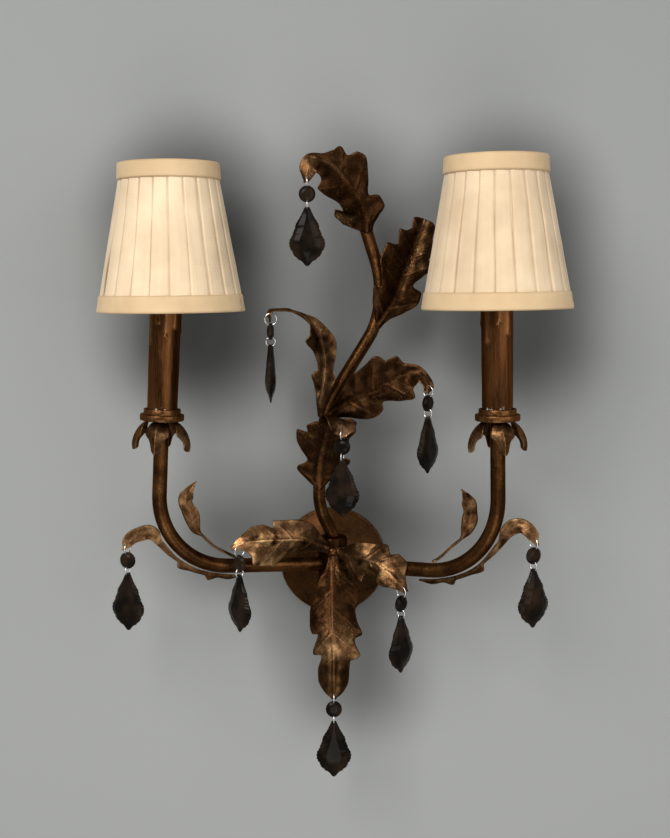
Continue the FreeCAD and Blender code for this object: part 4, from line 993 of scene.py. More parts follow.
# Where each leaf starts, as a share of the stem or a number in the stack, and the side of the stem
# that it lies on. Places along its midrib, and its half widths, are in hundreds of millimetres.
# Each leaf's rub table paints it paler, with glints, along its midrib: partly rubbed bronze, partly painted light
# where it faces the lamps.
LEAVES: dict[str, dict] = {
    "leaf_top": {
        "stem": 0.985, "side": (0, -1, 0),
        "rib": (
            (0, 0, 0), (-0.01, -0.08, 0.16), (-0.08, -0.16, 0.30), (-0.18, -0.24, 0.43),
            (-0.295, -0.31, 0.545), (-0.415, -0.38, 0.605), (-0.50, -0.44, 0.555),
            (-0.535, -0.45, 0.415),
        ),
        "facing": ((0.1, -1, 0.1), (0, -1, 0.1), (0.1, -1, 0.3), (-0.5, -1, 0.2)),
        "fold": ((0, 2), (0.3, 10), (0.7, 8), (1, 0)),
        "right": (
            (0, 0.05), (0.05, 0.06), (0.10, 0.11), (0.14, 0.17), (0.19, 0.165), (0.26, 0.09),
            (0.34, 0.165), (0.43, 0.26), (0.49, 0.24), (0.56, 0.155), (0.61, 0.18), (0.66, 0.12),
            (0.75, 0.06), (0.82, 0.085), (0.87, 0.08), (0.94, 0.045), (1, 0.02),
        ),
        "left": (
            (0, 0.22), (0.03, 0.295), (0.09, 0.285), (0.15, 0.20), (0.27, 0.18), (0.44, 0.24),
            (0.50, 0.25), (0.58, 0.17), (0.75, 0.12), (0.85, 0.09), (0.94, 0.05), (1, 0.02),
        ),
    },
    "leaf_upper_right": {
        "stem": 0.70, "side": (0.45, -0.9, 0),
        "rib": (
            (0, 0, 0), (0.055, -0.01, 0.09), (0.13, -0.02, 0.205), (0.19, -0.02, 0.34),
            (0.245, 0.0, 0.50), (0.32, 0.03, 0.69), (0.42, 0.06, 0.97),
        ),
        "facing": ((0.3, -1, 0.0), (0.1, -1, 0.0), (0.1, -1, 0.0)),
        "fold": ((0, 2), (0.3, 12), (1, 8)),
        "right": (
            (0, 0.03), (0.08, 0.05), (0.17, 0.13), (0.25, 0.205), (0.31, 0.20), (0.39, 0.11),
            (0.45, 0.17), (0.54, 0.24), (0.62, 0.16), (0.70, 0.19), (0.80, 0.13), (0.90, 0.12),
            (0.96, 0.08), (1, 0.015),
        ),
        "left": (
            (0, 0.03), (0.04, 0.08), (0.10, 0.18), (0.163, 0.245), (0.20, 0.20), (0.25, 0.175),
            (0.33, 0.21), (0.43, 0.255), (0.555, 0.255), (0.64, 0.16), (0.755, 0.185),
            (0.80, 0.12), (0.86, 0.085), (0.93, 0.095), (0.97, 0.06), (1, 0.015),
        ),
    },
    "leaf_middle_right": {
        "stem": 0.40, "side": (0, -1, 0),
        "rib": (
            (0, 0, 0), (0.115, -0.05, 0.095), (0.26, -0.09, 0.17), (0.40, -0.13, 0.245),
            (0.545, -0.18, 0.34), (0.69, -0.23, 0.415), (0.81, -0.29, 0.42), (0.885, -0.34, 0.34),
            (0.88, -0.35, 0.26),
        ),
        "facing": ((0, -1, 0), (0, -1, 0.1), (0, -1, 0.2), (0.6, -1, 0.3)),
        "fold": ((0, 2), (0.3, 12), (0.7, 8), (1, 0)),
        "right": (
            (0, 0.03), (0.06, 0.08), (0.16, 0.165), (0.28, 0.215), (0.36, 0.19), (0.41, 0.13),
            (0.50, 0.215), (0.59, 0.245), (0.66, 0.16), (0.78, 0.10), (0.86, 0.06), (0.94, 0.05),
            (1, 0.02),
        ),
        "left": (
            (0, 0.03), (0.10, 0.06), (0.18, 0.15), (0.27, 0.22), (0.48, 0.255), (0.52, 0.23),
            (0.57, 0.17), (0.64, 0.17), (0.70, 0.09), (0.78, 0.07), (0.86, 0.05), (0.94, 0.05),
            (1, 0.02),
        ),
    },
    "leaf_upper_left": {
        "stem": 0.40, "side": (-0.7, -0.7, 0),
        "rib": (
            (0, 0, 0), (0.0, -0.02, 0.14), (0.03, -0.06, 0.31), (0.045, -0.11, 0.49),
            (0.01, -0.18, 0.67), (-0.085, -0.28, 0.84), (-0.215, -0.37, 0.945),
            (-0.35, -0.43, 0.975), (-0.42, -0.45, 0.96), (-0.43, -0.455, 0.885),
        ),
        "facing": (
            (-0.4, -1, 0.1), (0, -1, 0.2), (-0.1, -0.8, 0.5), (-0.1, -0.3, 1), (-1, -0.3, 0.3),
        ),
        "rub": ((0, 0.05), (0.15, 0.28), (1, 0.33)),
        "fold": ((0, 2), (0.3, 22), (0.7, 18), (1, 0)),
        "right": (
            (0, 0.03), (0.09, 0.04), (0.18, 0.075), (0.24, 0.105), (0.30, 0.075), (0.37, 0.10),
            (0.46, 0.135), (0.56, 0.10), (0.64, 0.085), (0.74, 0.07), (0.86, 0.06), (0.94, 0.05),
            (1, 0.02),
        ),
        "left": (
            (0, 0.03), (0.09, 0.04), (0.18, 0.09), (0.24, 0.125), (0.30, 0.075), (0.42, 0.095),
            (0.56, 0.15), (0.60, 0.10), (0.66, 0.12), (0.70, 0.08), (0.86, 0.06), (0.94, 0.05),
            (1, 0.02),
        ),
    },
    "leaf_lower_left": {
        "stem": 0.18, "side": (0, -1, 0),
        "rib": (
            (0, 0, 0), (0, -0.02, 0.15), (0.02, -0.07, 0.32), (0.055, -0.14, 0.49),
            (0.09, -0.22, 0.635), (0.13, -0.31, 0.71), (0.19, -0.39, 0.675), (0.22, -0.42, 0.55),
        ),
        "facing": (
            (0, -1, 0.1), (0, -1, 0.1), (0, -1, 0), (0, -1, -0.2), (0, -0.8, -0.6), (0, 0, -1),
            (0, 1, -0.3),
        ),
        "fold": ((0, 2), (0.3, 12), (0.7, 5), (1, 0)),
        "right": (
            (0, 0.03), (0.05, 0.12), (0.10, 0.25), (0.18, 0.27), (0.27, 0.20), (0.39, 0.21),
            (0.46, 0.21), (0.52, 0.25), (0.62, 0.20), (0.70, 0.12), (0.77, 0.14), (0.83, 0.15),
            (0.90, 0.11), (0.95, 0.06), (1, 0.02),
        ),
        "left": (
            (0, 0.03), (0.05, 0.105), (0.11, 0.20), (0.22, 0.12), (0.28, 0.19), (0.34, 0.25),
            (0.42, 0.27), (0.46, 0.17), (0.51, 0.19), (0.57, 0.15), (0.64, 0.09), (0.74, 0.12),
            (0.82, 0.15), (0.89, 0.11), (0.94, 0.06), (1, 0.02),
        ),
    },
    "leaf_centre_left": {
        "stack": 0,
        "rub": ((0, 0.15), (0.3, 0.22), (0.42, 0.8), (0.55, 1.6), (0.9, 1.6), (1, 0.3)),
        "rib": (
            (0, 0, 0), (-0.135, -0.06, 0.07), (-0.275, -0.15, 0.13), (-0.45, -0.24, 0.15),
            (-0.61, -0.31, 0.16), (-0.76, -0.36, 0.155), (-0.88, -0.38, 0.11),
        ),
        "facing": ((0, -1, 0.0), (0, -1, 0.2), (-0.5, -1, 0.2)),
        "fold": ((0, 0), (0.15, 0), (0.4, -22), (0.8, -18), (1, 0)),
        "right": (
            (0, 0.04), (0.08, 0.06), (0.20, 0.15), (0.28, 0.17), (0.37, 0.18), (0.48, 0.19),
            (0.54, 0.12), (0.62, 0.15), (0.72, 0.14), (0.82, 0.09), (0.93, 0.045), (1, 0.02),
        ),
        "left": (
            (0, 0.04), (0.08, 0.05), (0.20, 0.10), (0.28, 0.14), (0.36, 0.12), (0.44, 0.25),
            (0.50, 0.235), (0.58, 0.24), (0.67, 0.22), (0.74, 0.14), (0.82, 0.085), (0.93, 0.04),
            (1, 0.02),
        ),
    },
    "leaf_centre_right": {
        "stack": 1,
        "rub": ((0, 0.05), (0.25, 0.25), (0.45, 0.38), (0.78, 0.38), (1, 0.25)),
        "rib": (
            (0, 0, 0), (0.06, -0.01, -0.01), (0.14, -0.08, -0.02), (0.25, -0.19, -0.02),
            (0.38, -0.28, -0.045), (0.49, -0.35, -0.11), (0.57, -0.395, -0.18),
            (0.64, -0.41, -0.265),
        ),
        "facing": ((0, -1, 0.0), (0, -1, 0.2), (0.6, -1, 0.1)),
        "fold": ((0, 0), (0.15, 0), (0.4, -22), (0.62, -8), (0.8, -8), (1, 0)),
        "right": (
            (0, 0.04), (0.05, 0.055), (0.08, 0.07), (0.16, 0.15), (0.24, 0.21), (0.30, 0.16),
            (0.38, 0.135), (0.53, 0.15), (0.69, 0.13), (0.80, 0.085), (0.92, 0.045), (1, 0.02),
        ),
        "left": (
            (0, 0.04), (0.08, 0.06), (0.16, 0.12), (0.31, 0.145), (0.48, 0.19), (0.53, 0.16),
            (0.57, 0.135), (0.61, 0.18), (0.69, 0.18), (0.80, 0.10), (0.92, 0.045), (1, 0.02),
        ),
    },
    "leaf_centre_bottom": {
        "stack": 2,
        "rub": (
            (0, 0), (0.45, 0.03), (0.55, 0.25), (0.62, 1), (0.68, 0.45), (0.73, 0.08), (1, 0.10),
        ),
        "rib": (
            (0, 0, 0), (0, -0.008, -0.07), (0, -0.06, -0.20), (0, -0.14, -0.39), (0, -0.22, -0.56),
            (0, -0.28, -0.71), (0.01, -0.30, -0.86), (0.01, -0.29, -1.06), (0.01, -0.26, -1.26),
        ),
        "facing": ((0, -1, 0.0), (0, -1, 0.3), (0, -1, 0.0), (0, -1, -0.1)),
        "fold": ((0, 0), (0.12, 0), (0.3, -20), (0.8, -18), (1, 0)),
        "right": (
            (0, 0.04), (0.045, 0.045), (0.08, 0.06), (0.14, 0.12), (0.24, 0.18), (0.31, 0.22),
            (0.39, 0.22), (0.47, 0.195), (0.50, 0.14), (0.60, 0.195), (0.65, 0.12), (0.75, 0.15),
            (0.82, 0.145), (0.90, 0.10), (0.95, 0.06), (1, 0.02),
        ),
        "left": (
            (0, 0.04), (0.05, 0.06), (0.10, 0.12), (0.17, 0.22), (0.24, 0.245), (0.30, 0.215),
            (0.37, 0.235), (0.43, 0.28), (0.50, 0.21), (0.60, 0.25), (0.65, 0.22), (0.69, 0.15),
            (0.82, 0.14), (0.90, 0.10), (0.95, 0.06), (1, 0.02),
        ),
    },
}


# The shares of an arm that each outer strip follows, the places of its free end, the share at which
# each inner sprig rises, and the places along its midrib, in hundreds of millimetres.
SPRIGS: dict[Side, dict] = {
    Side.LEFT: {
        "held": (0.28, 0.35, 0.42, 0.49, 0.56),
        "free": (
            (-0.086, -0.02, 0.082), (-0.19, -0.04, 0.077), (-0.266, -0.06, 0.043),
            (-0.325, -0.08, -0.05),
        ),
        "root": 0.30,
        "rib": (
            (0, 0, 0), (-0.085, -0.03, 0.05), (-0.185, -0.06, 0.115), (-0.275, -0.10, 0.21),
            (-0.333, -0.12, 0.275), (-0.375, -0.13, 0.405), (-0.42, -0.14, 0.515),
            (-0.40, -0.14, 0.608), (-0.333, -0.12, 0.70),
        ),
    },
    Side.RIGHT: {
        "held": (0.28, 0.35, 0.42, 0.49, 0.57),
        "free": (
            (0.088, -0.02, 0.121), (0.188, -0.05, 0.171), (0.271, -0.08, 0.13), (0.33, -0.10, 0.02),
        ),
        "root": 0.33,
        "rib": (
            (0, 0, 0), (0.067, -0.02, 0.048), (0.166, -0.05, 0.15), (0.25, -0.08, 0.235),
            (0.30, -0.10, 0.35), (0.314, -0.11, 0.463), (0.29, -0.11, 0.574), (0.24, -0.09, 0.657),
        ),
    },
}


@dataclass(frozen=True)
class Spot:
    """A point of a skin: radius and angle about Z, UV, and the named values of its finish."""

    radius: float
    angle: float
    uv: tuple[float, float]
    values: dict[str, float]


@dataclass(frozen=True)
class Skin:
    """A thin wall round Z, shaped outside and plain inside.

    Both sides give the point of a column and a height. The outside has a row at every height, and
    the inside only at the last and the first.
    """

    count: int
    heights: Sequence[float]
    outside: Callable[[int, float], Spot]
    inside: Callable[[int, float], Spot]

    def build(
        self, name: str, place: Matrix, foot: float, material: bpy.types.Material
    ) -> bpy.types.Object:
        """Makes the wall.

        Args:
            name: the piece's name.
            place: matrix that puts the piece where it stands.
            foot: how far above the place the heights are counted from.
            material: its finish.

        Returns:
            The wall as one closed piece.
        """
        maker = MeshMaker(name)
        rows = []
        levels = [(height, self.outside) for height in self.heights]
        levels += [(height, self.inside) for height in (self.heights[-1], self.heights[0])]
        for height, side in levels:
            spots = [side(column, height) for column in range(self.count)]
            rows.append([
                maker.add(about(place, at.radius, at.angle, foot + height), at.uv, **at.values)
                for at in spots
            ])
        maker.grid([*rows, rows[0]], closed=True)
        return outward(maker.build([material]))


def spread(low: float, high: float, steps: int) -> list[float]:
    """Evenly spaced heights from the low one to the high one."""
    return [low + (high - low) * step / steps for step in range(steps + 1)]


@dataclass
class Part:
    """What every sub-assembly of the lamp is made with."""

    mechanics: Mechanics
    finishes: Finishes


@dataclass
class Foliage(Part):
    """The oak leaves and the sprigs on the arms."""

    fit_gap: float = 0.3
    sheet: float = 0.8
    stack_step: float = 1.2
    rake: float = 28.0
    # Rubbing and painted highlight for the leaves without a table of their own, rising towards the tip.
    usual_rub: Table = ((0.0, 0.03), (0.7, 0.03), (0.85, 0.2), (1.0, 0.24))
    serrated: Table = (
        (0, 0.01), (0.08, 0.03), (0.16, 0.02), (0.22, 0.055), (0.26, 0.02), (0.36, 0.03),
        (0.44, 0.06), (0.48, 0.02), (0.58, 0.04), (0.66, 0.05), (0.76, 0.06), (0.86, 0.06),
        (0.93, 0.05), (1, 0.015),
    )
    plain: Table = (
        (0, 0.01), (0.16, 0.02), (0.54, 0.01), (0.66, 0.01), (0.72, 0.05), (0.78, 0.07),
        (0.86, 0.06), (0.93, 0.05), (1, 0.015),
    )
    small: Table = (
        (0, 0.012), (0.40, 0.012), (0.50, 0.05), (0.62, 0.07), (0.72, 0.06), (0.80, 0.065),
        (0.90, 0.035), (1, 0.008),
    )
    strip_middle: float = 0.025

    def base(self, leaf: dict) -> Vector:
        """Finds where a leaf's midrib starts.

        Args:
            leaf: the leaf's entry in LEAVES.

        Returns:
            The place on the stem, or in the stack under the screw.
        """
        if "stack" in leaf:
            depth = self.mechanics.hub_forward + self.mechanics.hub_radius + self.fit_gap
            depth += leaf["stack"] * self.stack_step + self.sheet / 2
            return Vector((0, -depth, self.mechanics.screw_height))
        place, _ = along(self.mechanics.stem(), leaf["stem"])
        away = self.mechanics.stem_radius + self.fit_gap + self.sheet / 2
        return place + Vector(leaf["side"]).normalized() * away

    def leaves(self) -> list[bpy.types.Object]:
        """Makes the eight leaves."""
        made = []
        for name, leaf in LEAVES.items():
            base = self.base(leaf)
            blade = Leaf(
                name + "_pressed",
                [base + Vector(place) * SPAN for place in leaf["rib"]],
                [Vector(way).normalized() for way in leaf["facing"]],
                leaf["fold"],
                self.rake,
                scaled(leaf["right"], SPAN),
                scaled(leaf["left"], SPAN),
                leaf.get("rub", self.usual_rub),
            )
            made.append(fitted(blade.build(self.finishes), "lamp", name))
        return made

    def strip(self, side: Side, path: Sequence[Vector]) -> Leaf:
        """Lays a serrated strip under an arm, with its end free.

        Args:
            side: the arm's side.
            path: the arm's centre line.

        Returns:
            The strip, not built yet.
        """
        own = SPRIGS[side]
        _, axis = self.mechanics.candle(side)
        _, way = along(path, 0.0)
        out = way.cross(axis).normalized() * -side.value
        hang = self.mechanics.arm_radius + self.fit_gap + SPAN * self.strip_middle
        rib = []
        for share in own["held"]:
            here, direction = along(path, share)
            rib.append(here + direction.cross(out) * (-side.value * hang))
        rib += [rib[-1] + Vector(place) * SPAN for place in own["free"]]
        edges = [scaled(self.serrated, SPAN), scaled(self.plain, SPAN)]
        if side is Side.LEFT:
            edges.reverse()
        return Leaf(
            f"sprig_{side.word}_outer_pressed", rib,
            [FORWARD, FORWARD, (FORWARD + UP / 2).normalized(), FORWARD],
            ((0, 0), (1, 0)), 15.0, *edges, ((0, 0.1), (0.5, 0.18), (0.65, 0.45), (1, 0.5)),
            lateral=6, pressed=0.45,
        )

    def sprig(self, side: Side, path: Sequence[Vector]) -> Leaf:
        """Stands a small leaf on an arm.

        Args:
            side: the arm's side.
            path: the arm's centre line.

        Returns:
            The leaf, not built yet.
        """
        own = SPRIGS[side]
        spot, _ = along(path, own["root"])
        base = spot + UP * (self.mechanics.arm_radius + self.fit_gap + self.sheet)
        edges = [scaled(self.small, SPAN)] * 2
        return Leaf(
            f"sprig_{side.word}_inner_pressed",
            [base + Vector(place) * SPAN for place in own["rib"]],
            [UP + FORWARD, FORWARD, FORWARD, FORWARD],
            ((0, 0), (0.5, 0), (1, 15)), 20.0, *edges, ((0, 0.15), (0.5, 0.22), (1, 0.28)),
            lateral=6, pressed=0.45,
        )

    def sprigs(self) -> list[bpy.types.Object]:
        """Makes the strips under the arms and the small leaves above them."""
        made = []
        for side in Side:
            path = self.mechanics.arm(side, self.mechanics.hub_radius)
            leaves = {"outer": self.strip(side, path), "inner": self.sprig(side, path)}
            for word, leaf in leaves.items():
                piece = leaf.build(self.finishes)
                made.append(fitted(piece, "lamp", f"sprig_{side.word}_{word}"))
        return made


@dataclass
class Frame(Part):
    """Arms and branch, as smooth tubes."""

    arm_start: float = 7.0

    def build(self) -> list[bpy.types.Object]:
        """Makes both arms and the branch."""
        own = self.mechanics
        tubes = TubeRecipe("bronze_tube", self.finishes["arm_bronze"])
        bars = [
            (f"arm_{side.word}", own.arm(side, self.arm_start), 120, own.arm_radius, 32)
            for side in Side
        ]
        bars.append(("stem", own.stem(), 160, own.stem_radius, 28))
        made = []
        for node, path, steps, radius, sides in bars:
            fine = [along(path, step / steps)[0] for step in range(steps + 1)]
            piece = tubes.follow(f"{node}_tube", [fine], radius, sides)
            made.append(fitted(piece, "lamp", node))
        return made


def lathe(
    name: str,
    profile: Table,
    place: Matrix,
    material: bpy.types.Material,
    count: int = 64,
    closed: bool = True,
    chalk: Callable[[float], float] = lambda height: 0.0,
    wear: Callable[[float], float] = lambda radius: 0.25,
) -> bpy.types.Object:
    """Turns a profile about Z.

    Args:
        name: the piece's name.
        profile: (radius, height) pairs in millimetres.
        place: matrix that puts the piece where it stands.
        material: its finish.
        count: steps around.
        closed: whether the profile's end joins its start.
        chalk: share of white specks by height.
        wear: how far the finish is worn, by radius.

    Returns:
        The piece.
    """
    maker = MeshMaker(name)
    rows = []
    for index, turn in enumerate(turns(count)):
        uvs = [(index / count, z / 100) for _, z in profile]
        rows.append([
            maker.add(about(place, r, turn, z), uv, wear=wear(r), chalk=chalk(z))
            for (r, z), uv in zip(profile, uvs)
        ])
    maker.grid([*rows, rows[0]], closed=closed)
    return creased(outward(maker.build([material])))


def creased(piece: bpy.types.Object, angle: float = 38.0) -> bpy.types.Object:
    """Keeps corners crisp under smooth shading.

    Args:
        piece: the piece.
        angle: the least corner that stays crisp, in degrees.

    Returns:
        The same piece.
    """
    shape = bmesh.new()
    shape.from_mesh(piece.data)
    for edge in shape.edges:
        if len(edge.link_faces) == 2 and edge.calc_face_angle() > math.radians(angle):
            edge.smooth = False
    shape.to_mesh(piece.data)
    shape.free()
    return piece


@dataclass
class Shade(Part):
    """A pleated cone shade with its bands, on its wire frame."""

    side: Side
    height: float = 126.0
    base: float = 93.5
    pleats: int = 22
    pleat: float = 1.3
    fabric: float = 0.9
    hem: float = 0.3
    wire: float = 1.0
    crest: Table = ((0.0, 62.3), (14.5, 60.3), (111.5, 43.1), (126.0, 42.5))
    lower_band: Table = ((0.0, 63.3), (1.0, 63.5), (7.0, 62.4), (13.4, 61.6), (14.5, 61.0))
    upper_band: Table = ((111.5, 43.9), (112.6, 44.4), (119.0, 44.1), (125.2, 43.9), (126.0, 43.5))
    knife: Table = ((0.0, 0.0), (0.06, -0.05), (0.5, 0.12), (0.84, 0.38), (0.94, 1.0))
    turned_back: float = 0.06
    gaping: Table = ((11, 38.0), (12, 30.0))
    gape_height: float = 20.0
    free_foot: float = 12.0
    free_height: float = 102.0
    drift: float = 0.34
    sag: float = 0.55
    lining_shade: float = 0.12
    lap: float = 0.45
    lap_width: float = 0.045
    seam_slant: float = 0.05
    ripple: float = 0.18
    hem_shade: float = 0.30
    hem_share: float = 0.07
    band_inset: float = 0.25
    band_cloth: float = 1.0
    band_points: int = 180
    band_levels: int = 9
    washer: Table = (
        (1.7, 188.2), (5.7, 188.2), (6.0, 188.45), (6.0, 188.95), (5.7, 189.2), (1.7, 189.2),
    )
    ribs: int = 6
    spokes: int = 3
    spoke_start: float = 5.0
    per_pleat: int = 14
    levels: int = 44
    flat_width: float = 0.385
    flat_height: float = 0.128
    pattern_width: float = 0.36

    def fold(self, part: float) -> float:
        """How far a knife pleat has sunk behind its crest at a part of its width."""
        edge = self.knife[-1][0]
        if part > edge:
            return 1.0 - (part - edge) / self.turned_back
        return smooth_reading(self.knife, part)

    def slit(self, pleat: int, height: float) -> float:
        """How far a pleat gapes at a height; two pleats of the left shade do."""
        middle = dict(self.gaping).get(pleat)
        gapes = middle is not None and self.side is Side.LEFT
        return bell(height - middle, self.gape_height) if gapes else 0.0

    def pattern(self, share: float, height: float) -> tuple[float, float]:
        """Place in the weave, in metres, of a share of the turn and a height."""
        return share * self.pattern_width, height * MM

    def pleated(self, column: int, height: float) -> Spot:
        """Reads the outer side of the cloth.

        Args:
            column: number of the point round the shade.
            height: height above the shade's foot.

        Returns:
            The point, sunk behind its pleat's crest, with the painted shadow line of the fold.
        """
        seed = 3.7 * self.side.value
        # Painted shade: the right shade's cloth is painted duller, as it gets less light.
        dull = 0.03 if self.side is Side.LEFT else 0.13
        free = math.sin(math.pi * clamped((height - self.free_foot) / self.free_height))
        pleat, part = divmod(column, self.per_pleat)
        part /= self.per_pleat
        drift = noise.noise(Vector((pleat * 1.7, seed, height / 70))) * self.drift * (0.3 + free)
        gape = self.slit(pleat, height)
        angle = math.tau * (pleat + part + drift * math.sin(math.pi * part)) / self.pleats
        sag = noise.noise(Vector((pleat * 0.9 + part, seed + 5, height / 45))) * self.sag * free
        depth = self.pleat * self.fold(part) * (1 + 0.5 * gape)
        radius = straight_reading(self.crest, height) - depth - abs(sag)
        # Painted shadow: a dark line in each fold, darker where the pleat drifts, and painted shade in the two
        # gaping pleats.
        line = bell(part - 0.95, 0.05) * (0.35 + 0.3 * min(1.0, abs(drift) / 0.2))
        line += gape * bell(part - 0.88, 0.14) * 1.2
        tone = dull + 0.05 * noise.noise(Vector((pleat + part * 4, seed, height / 90)))
        uv = self.pattern(column / (self.pleats * self.per_pleat), height)
        return Spot(radius, angle, uv, {"shade": clamped(line + tone)})

    def lining(self, column: int, height: float) -> Spot:
        """The plain inner side of the cloth at a column and a height."""
        share = column / (self.pleats * self.per_pleat)
        radius = straight_reading(self.crest, height) - self.pleat - self.fabric
        uv = self.pattern(share, height)
        # The lining is painted a little into shade.
        return Spot(radius, math.tau * share, uv, {"shade": self.lining_shade})

    def cover(self) -> bpy.types.Object:
        """The pleated cloth, one closed sheet of outer pleats and a plain lining."""
        heights = spread(self.hem, self.height - self.hem, self.levels)
        skin = Skin(self.pleats * self.per_pleat, heights, self.pleated, self.lining)
        place, finish = self.mechanics.shade(self.side), self.finishes["pleated_silk"]
        return skin.build(f"shade_{self.side.word}_pleats", place, self.base, finish)

    def strip(self, word: str, table: Table) -> bpy.types.Object:
        """A satin band with its ends folded over each other in a slanted seam.

        Args:
            word: which band it is, lower or upper.
            table: (height, outer radius) pairs.

        Returns:
            The band.
        """
        seam = math.radians(-22 if self.side is Side.RIGHT else -14)
        # Painted shade: the upper band is painted darker, as it gets less light than the lower.
        dull = 0.10 if word == "upper" else 0.0
        low, high = table[0][0], table[-1][0]

        def outside(column: int, height: float) -> Spot:
            share = (height - low) / (high - low)
            angle = math.tau * column / self.band_points
            turn = (angle - seam - self.seam_slant * share + math.pi) % math.tau - math.pi
            lap = self.lap / 2 * bell(turn, self.lap_width) if turn < 0 else 0.0
            ripple = self.ripple * noise.noise(Vector((angle * 7, share * 1.5, 3.0 + low)))
            radius = straight_reading(table, height) - self.band_inset + lap + ripple
            # Painted shade along both hems.
            hems = self.hem_shade * (bell(share, self.hem_share) + bell(1 - share, self.hem_share))
            cloud = 0.12 * noise.noise(Vector((angle * 3, share * 0.8, 9.0 + low)))
            # Painted shadow: a dark line at the edge of the lapped end.
            shade = max(0.0, hems + cloud + dull) + 0.8 * bell(turn - 0.004, 0.012)
            uv = self.pattern(column / self.band_points, height)
            return Spot(radius, angle, uv, {"shade": min(shade, 1.0)})

        def inside(column: int, height: float) -> Spot:
            radius = straight_reading(table, height) - self.band_cloth
            # The band's inner face is painted in shade.
            return Spot(radius, math.tau * column / self.band_points, (0.0, 0.0), {"shade": 0.3})

        skin = Skin(self.band_points, spread(low, high, self.band_levels), outside, inside)
        place, finish = self.mechanics.shade(self.side), self.finishes["satin_band"]
        return skin.build(f"shade_{self.side.word}_{word}_band", place, self.base, finish)

    def skeleton(self) -> list[bpy.types.Object]:
        """Wire rings, ribs and the spider with its washer."""
        place = self.mechanics.shade(self.side)
        word = self.side.word
        wires = TubeRecipe(f"frame_wire_{word}", self.finishes["frame_white"])
        low, top = 2 * self.wire, self.height - 2 * self.wire
        inset = self.pleat + self.fabric + self.wire + 0.35
        reach = {level: straight_reading(self.crest, level) - inset for level in (low, top)}
        hoops = [
            [about(place, r, turn, self.base + z) for turn in turns(72)] for z, r in reach.items()
        ]
        rings = wires.follow(f"shade_{word}_rings", hoops, self.wire, 10, closed=True)
        bars = []
        for turn in turns(self.ribs, 0.5):
            foot, head = (about(place, r, turn, self.base + z) for z, r in reach.items())
            bars.append([foot.lerp(head, step / 8) for step in range(9)])
        seat = self.washer[0][1]
        spoke = (
            (self.spoke_start, seat + 0.6), (14.0, seat + 2.5),
            (reach[top] * 0.72, self.base + top - 1.5), (reach[top], self.base + top),
        )
        for turn in turns(self.spokes):
            ends = [about(place, r, turn, z) for r, z in spoke]
            bars.append([curve_point(ends, step / 24) for step in range(25)])
        ribs = wires.follow(f"shade_{word}_ribs", bars, self.wire, 10)
        washer = lathe(f"shade_{word}_washer", self.washer, place, self.finishes["frame_white"])
        return [rings, ribs, washer]

    def build(self) -> list[bpy.types.Object]:
        """Makes the shade's pieces."""
        word = self.side.word
        body = f"shade_{word}"
        cover = fitted(self.cover(), body, f"shade_cover_{word}")
        wires = [
            fitted(piece, body, f"shade_frame_{word}") for piece in self.skeleton()
        ]
        bands = [
            fitted(self.strip(place, table), body, f"shade_bands_{word}")
            for place, table in (("lower", self.lower_band), ("upper", self.upper_band))
        ]
        return [cover, *wires, *bands]


# Degrees round the sleeve, height of the lower end and thickness, in millimetres, of each wax run.
WAX: dict[Side, tuple[tuple[float, float, float], ...]] = {
    Side.LEFT: (
        (214, 67.0, 1.0), (279, 75.0, 0.8), (250, 84.0, 0.7), (320, 80.0, 0.8), (90, 70.0, 1.0),
        (20, 76.0, 0.9),
    ),
    Side.RIGHT: (
        (222, 66.0, 0.9), (306, 73.0, 1.0), (268, 83.0, 0.7), (110, 72.0, 1.0), (160, 80.0, 0.8),
        (40, 68.0, 0.9),
    ),
}


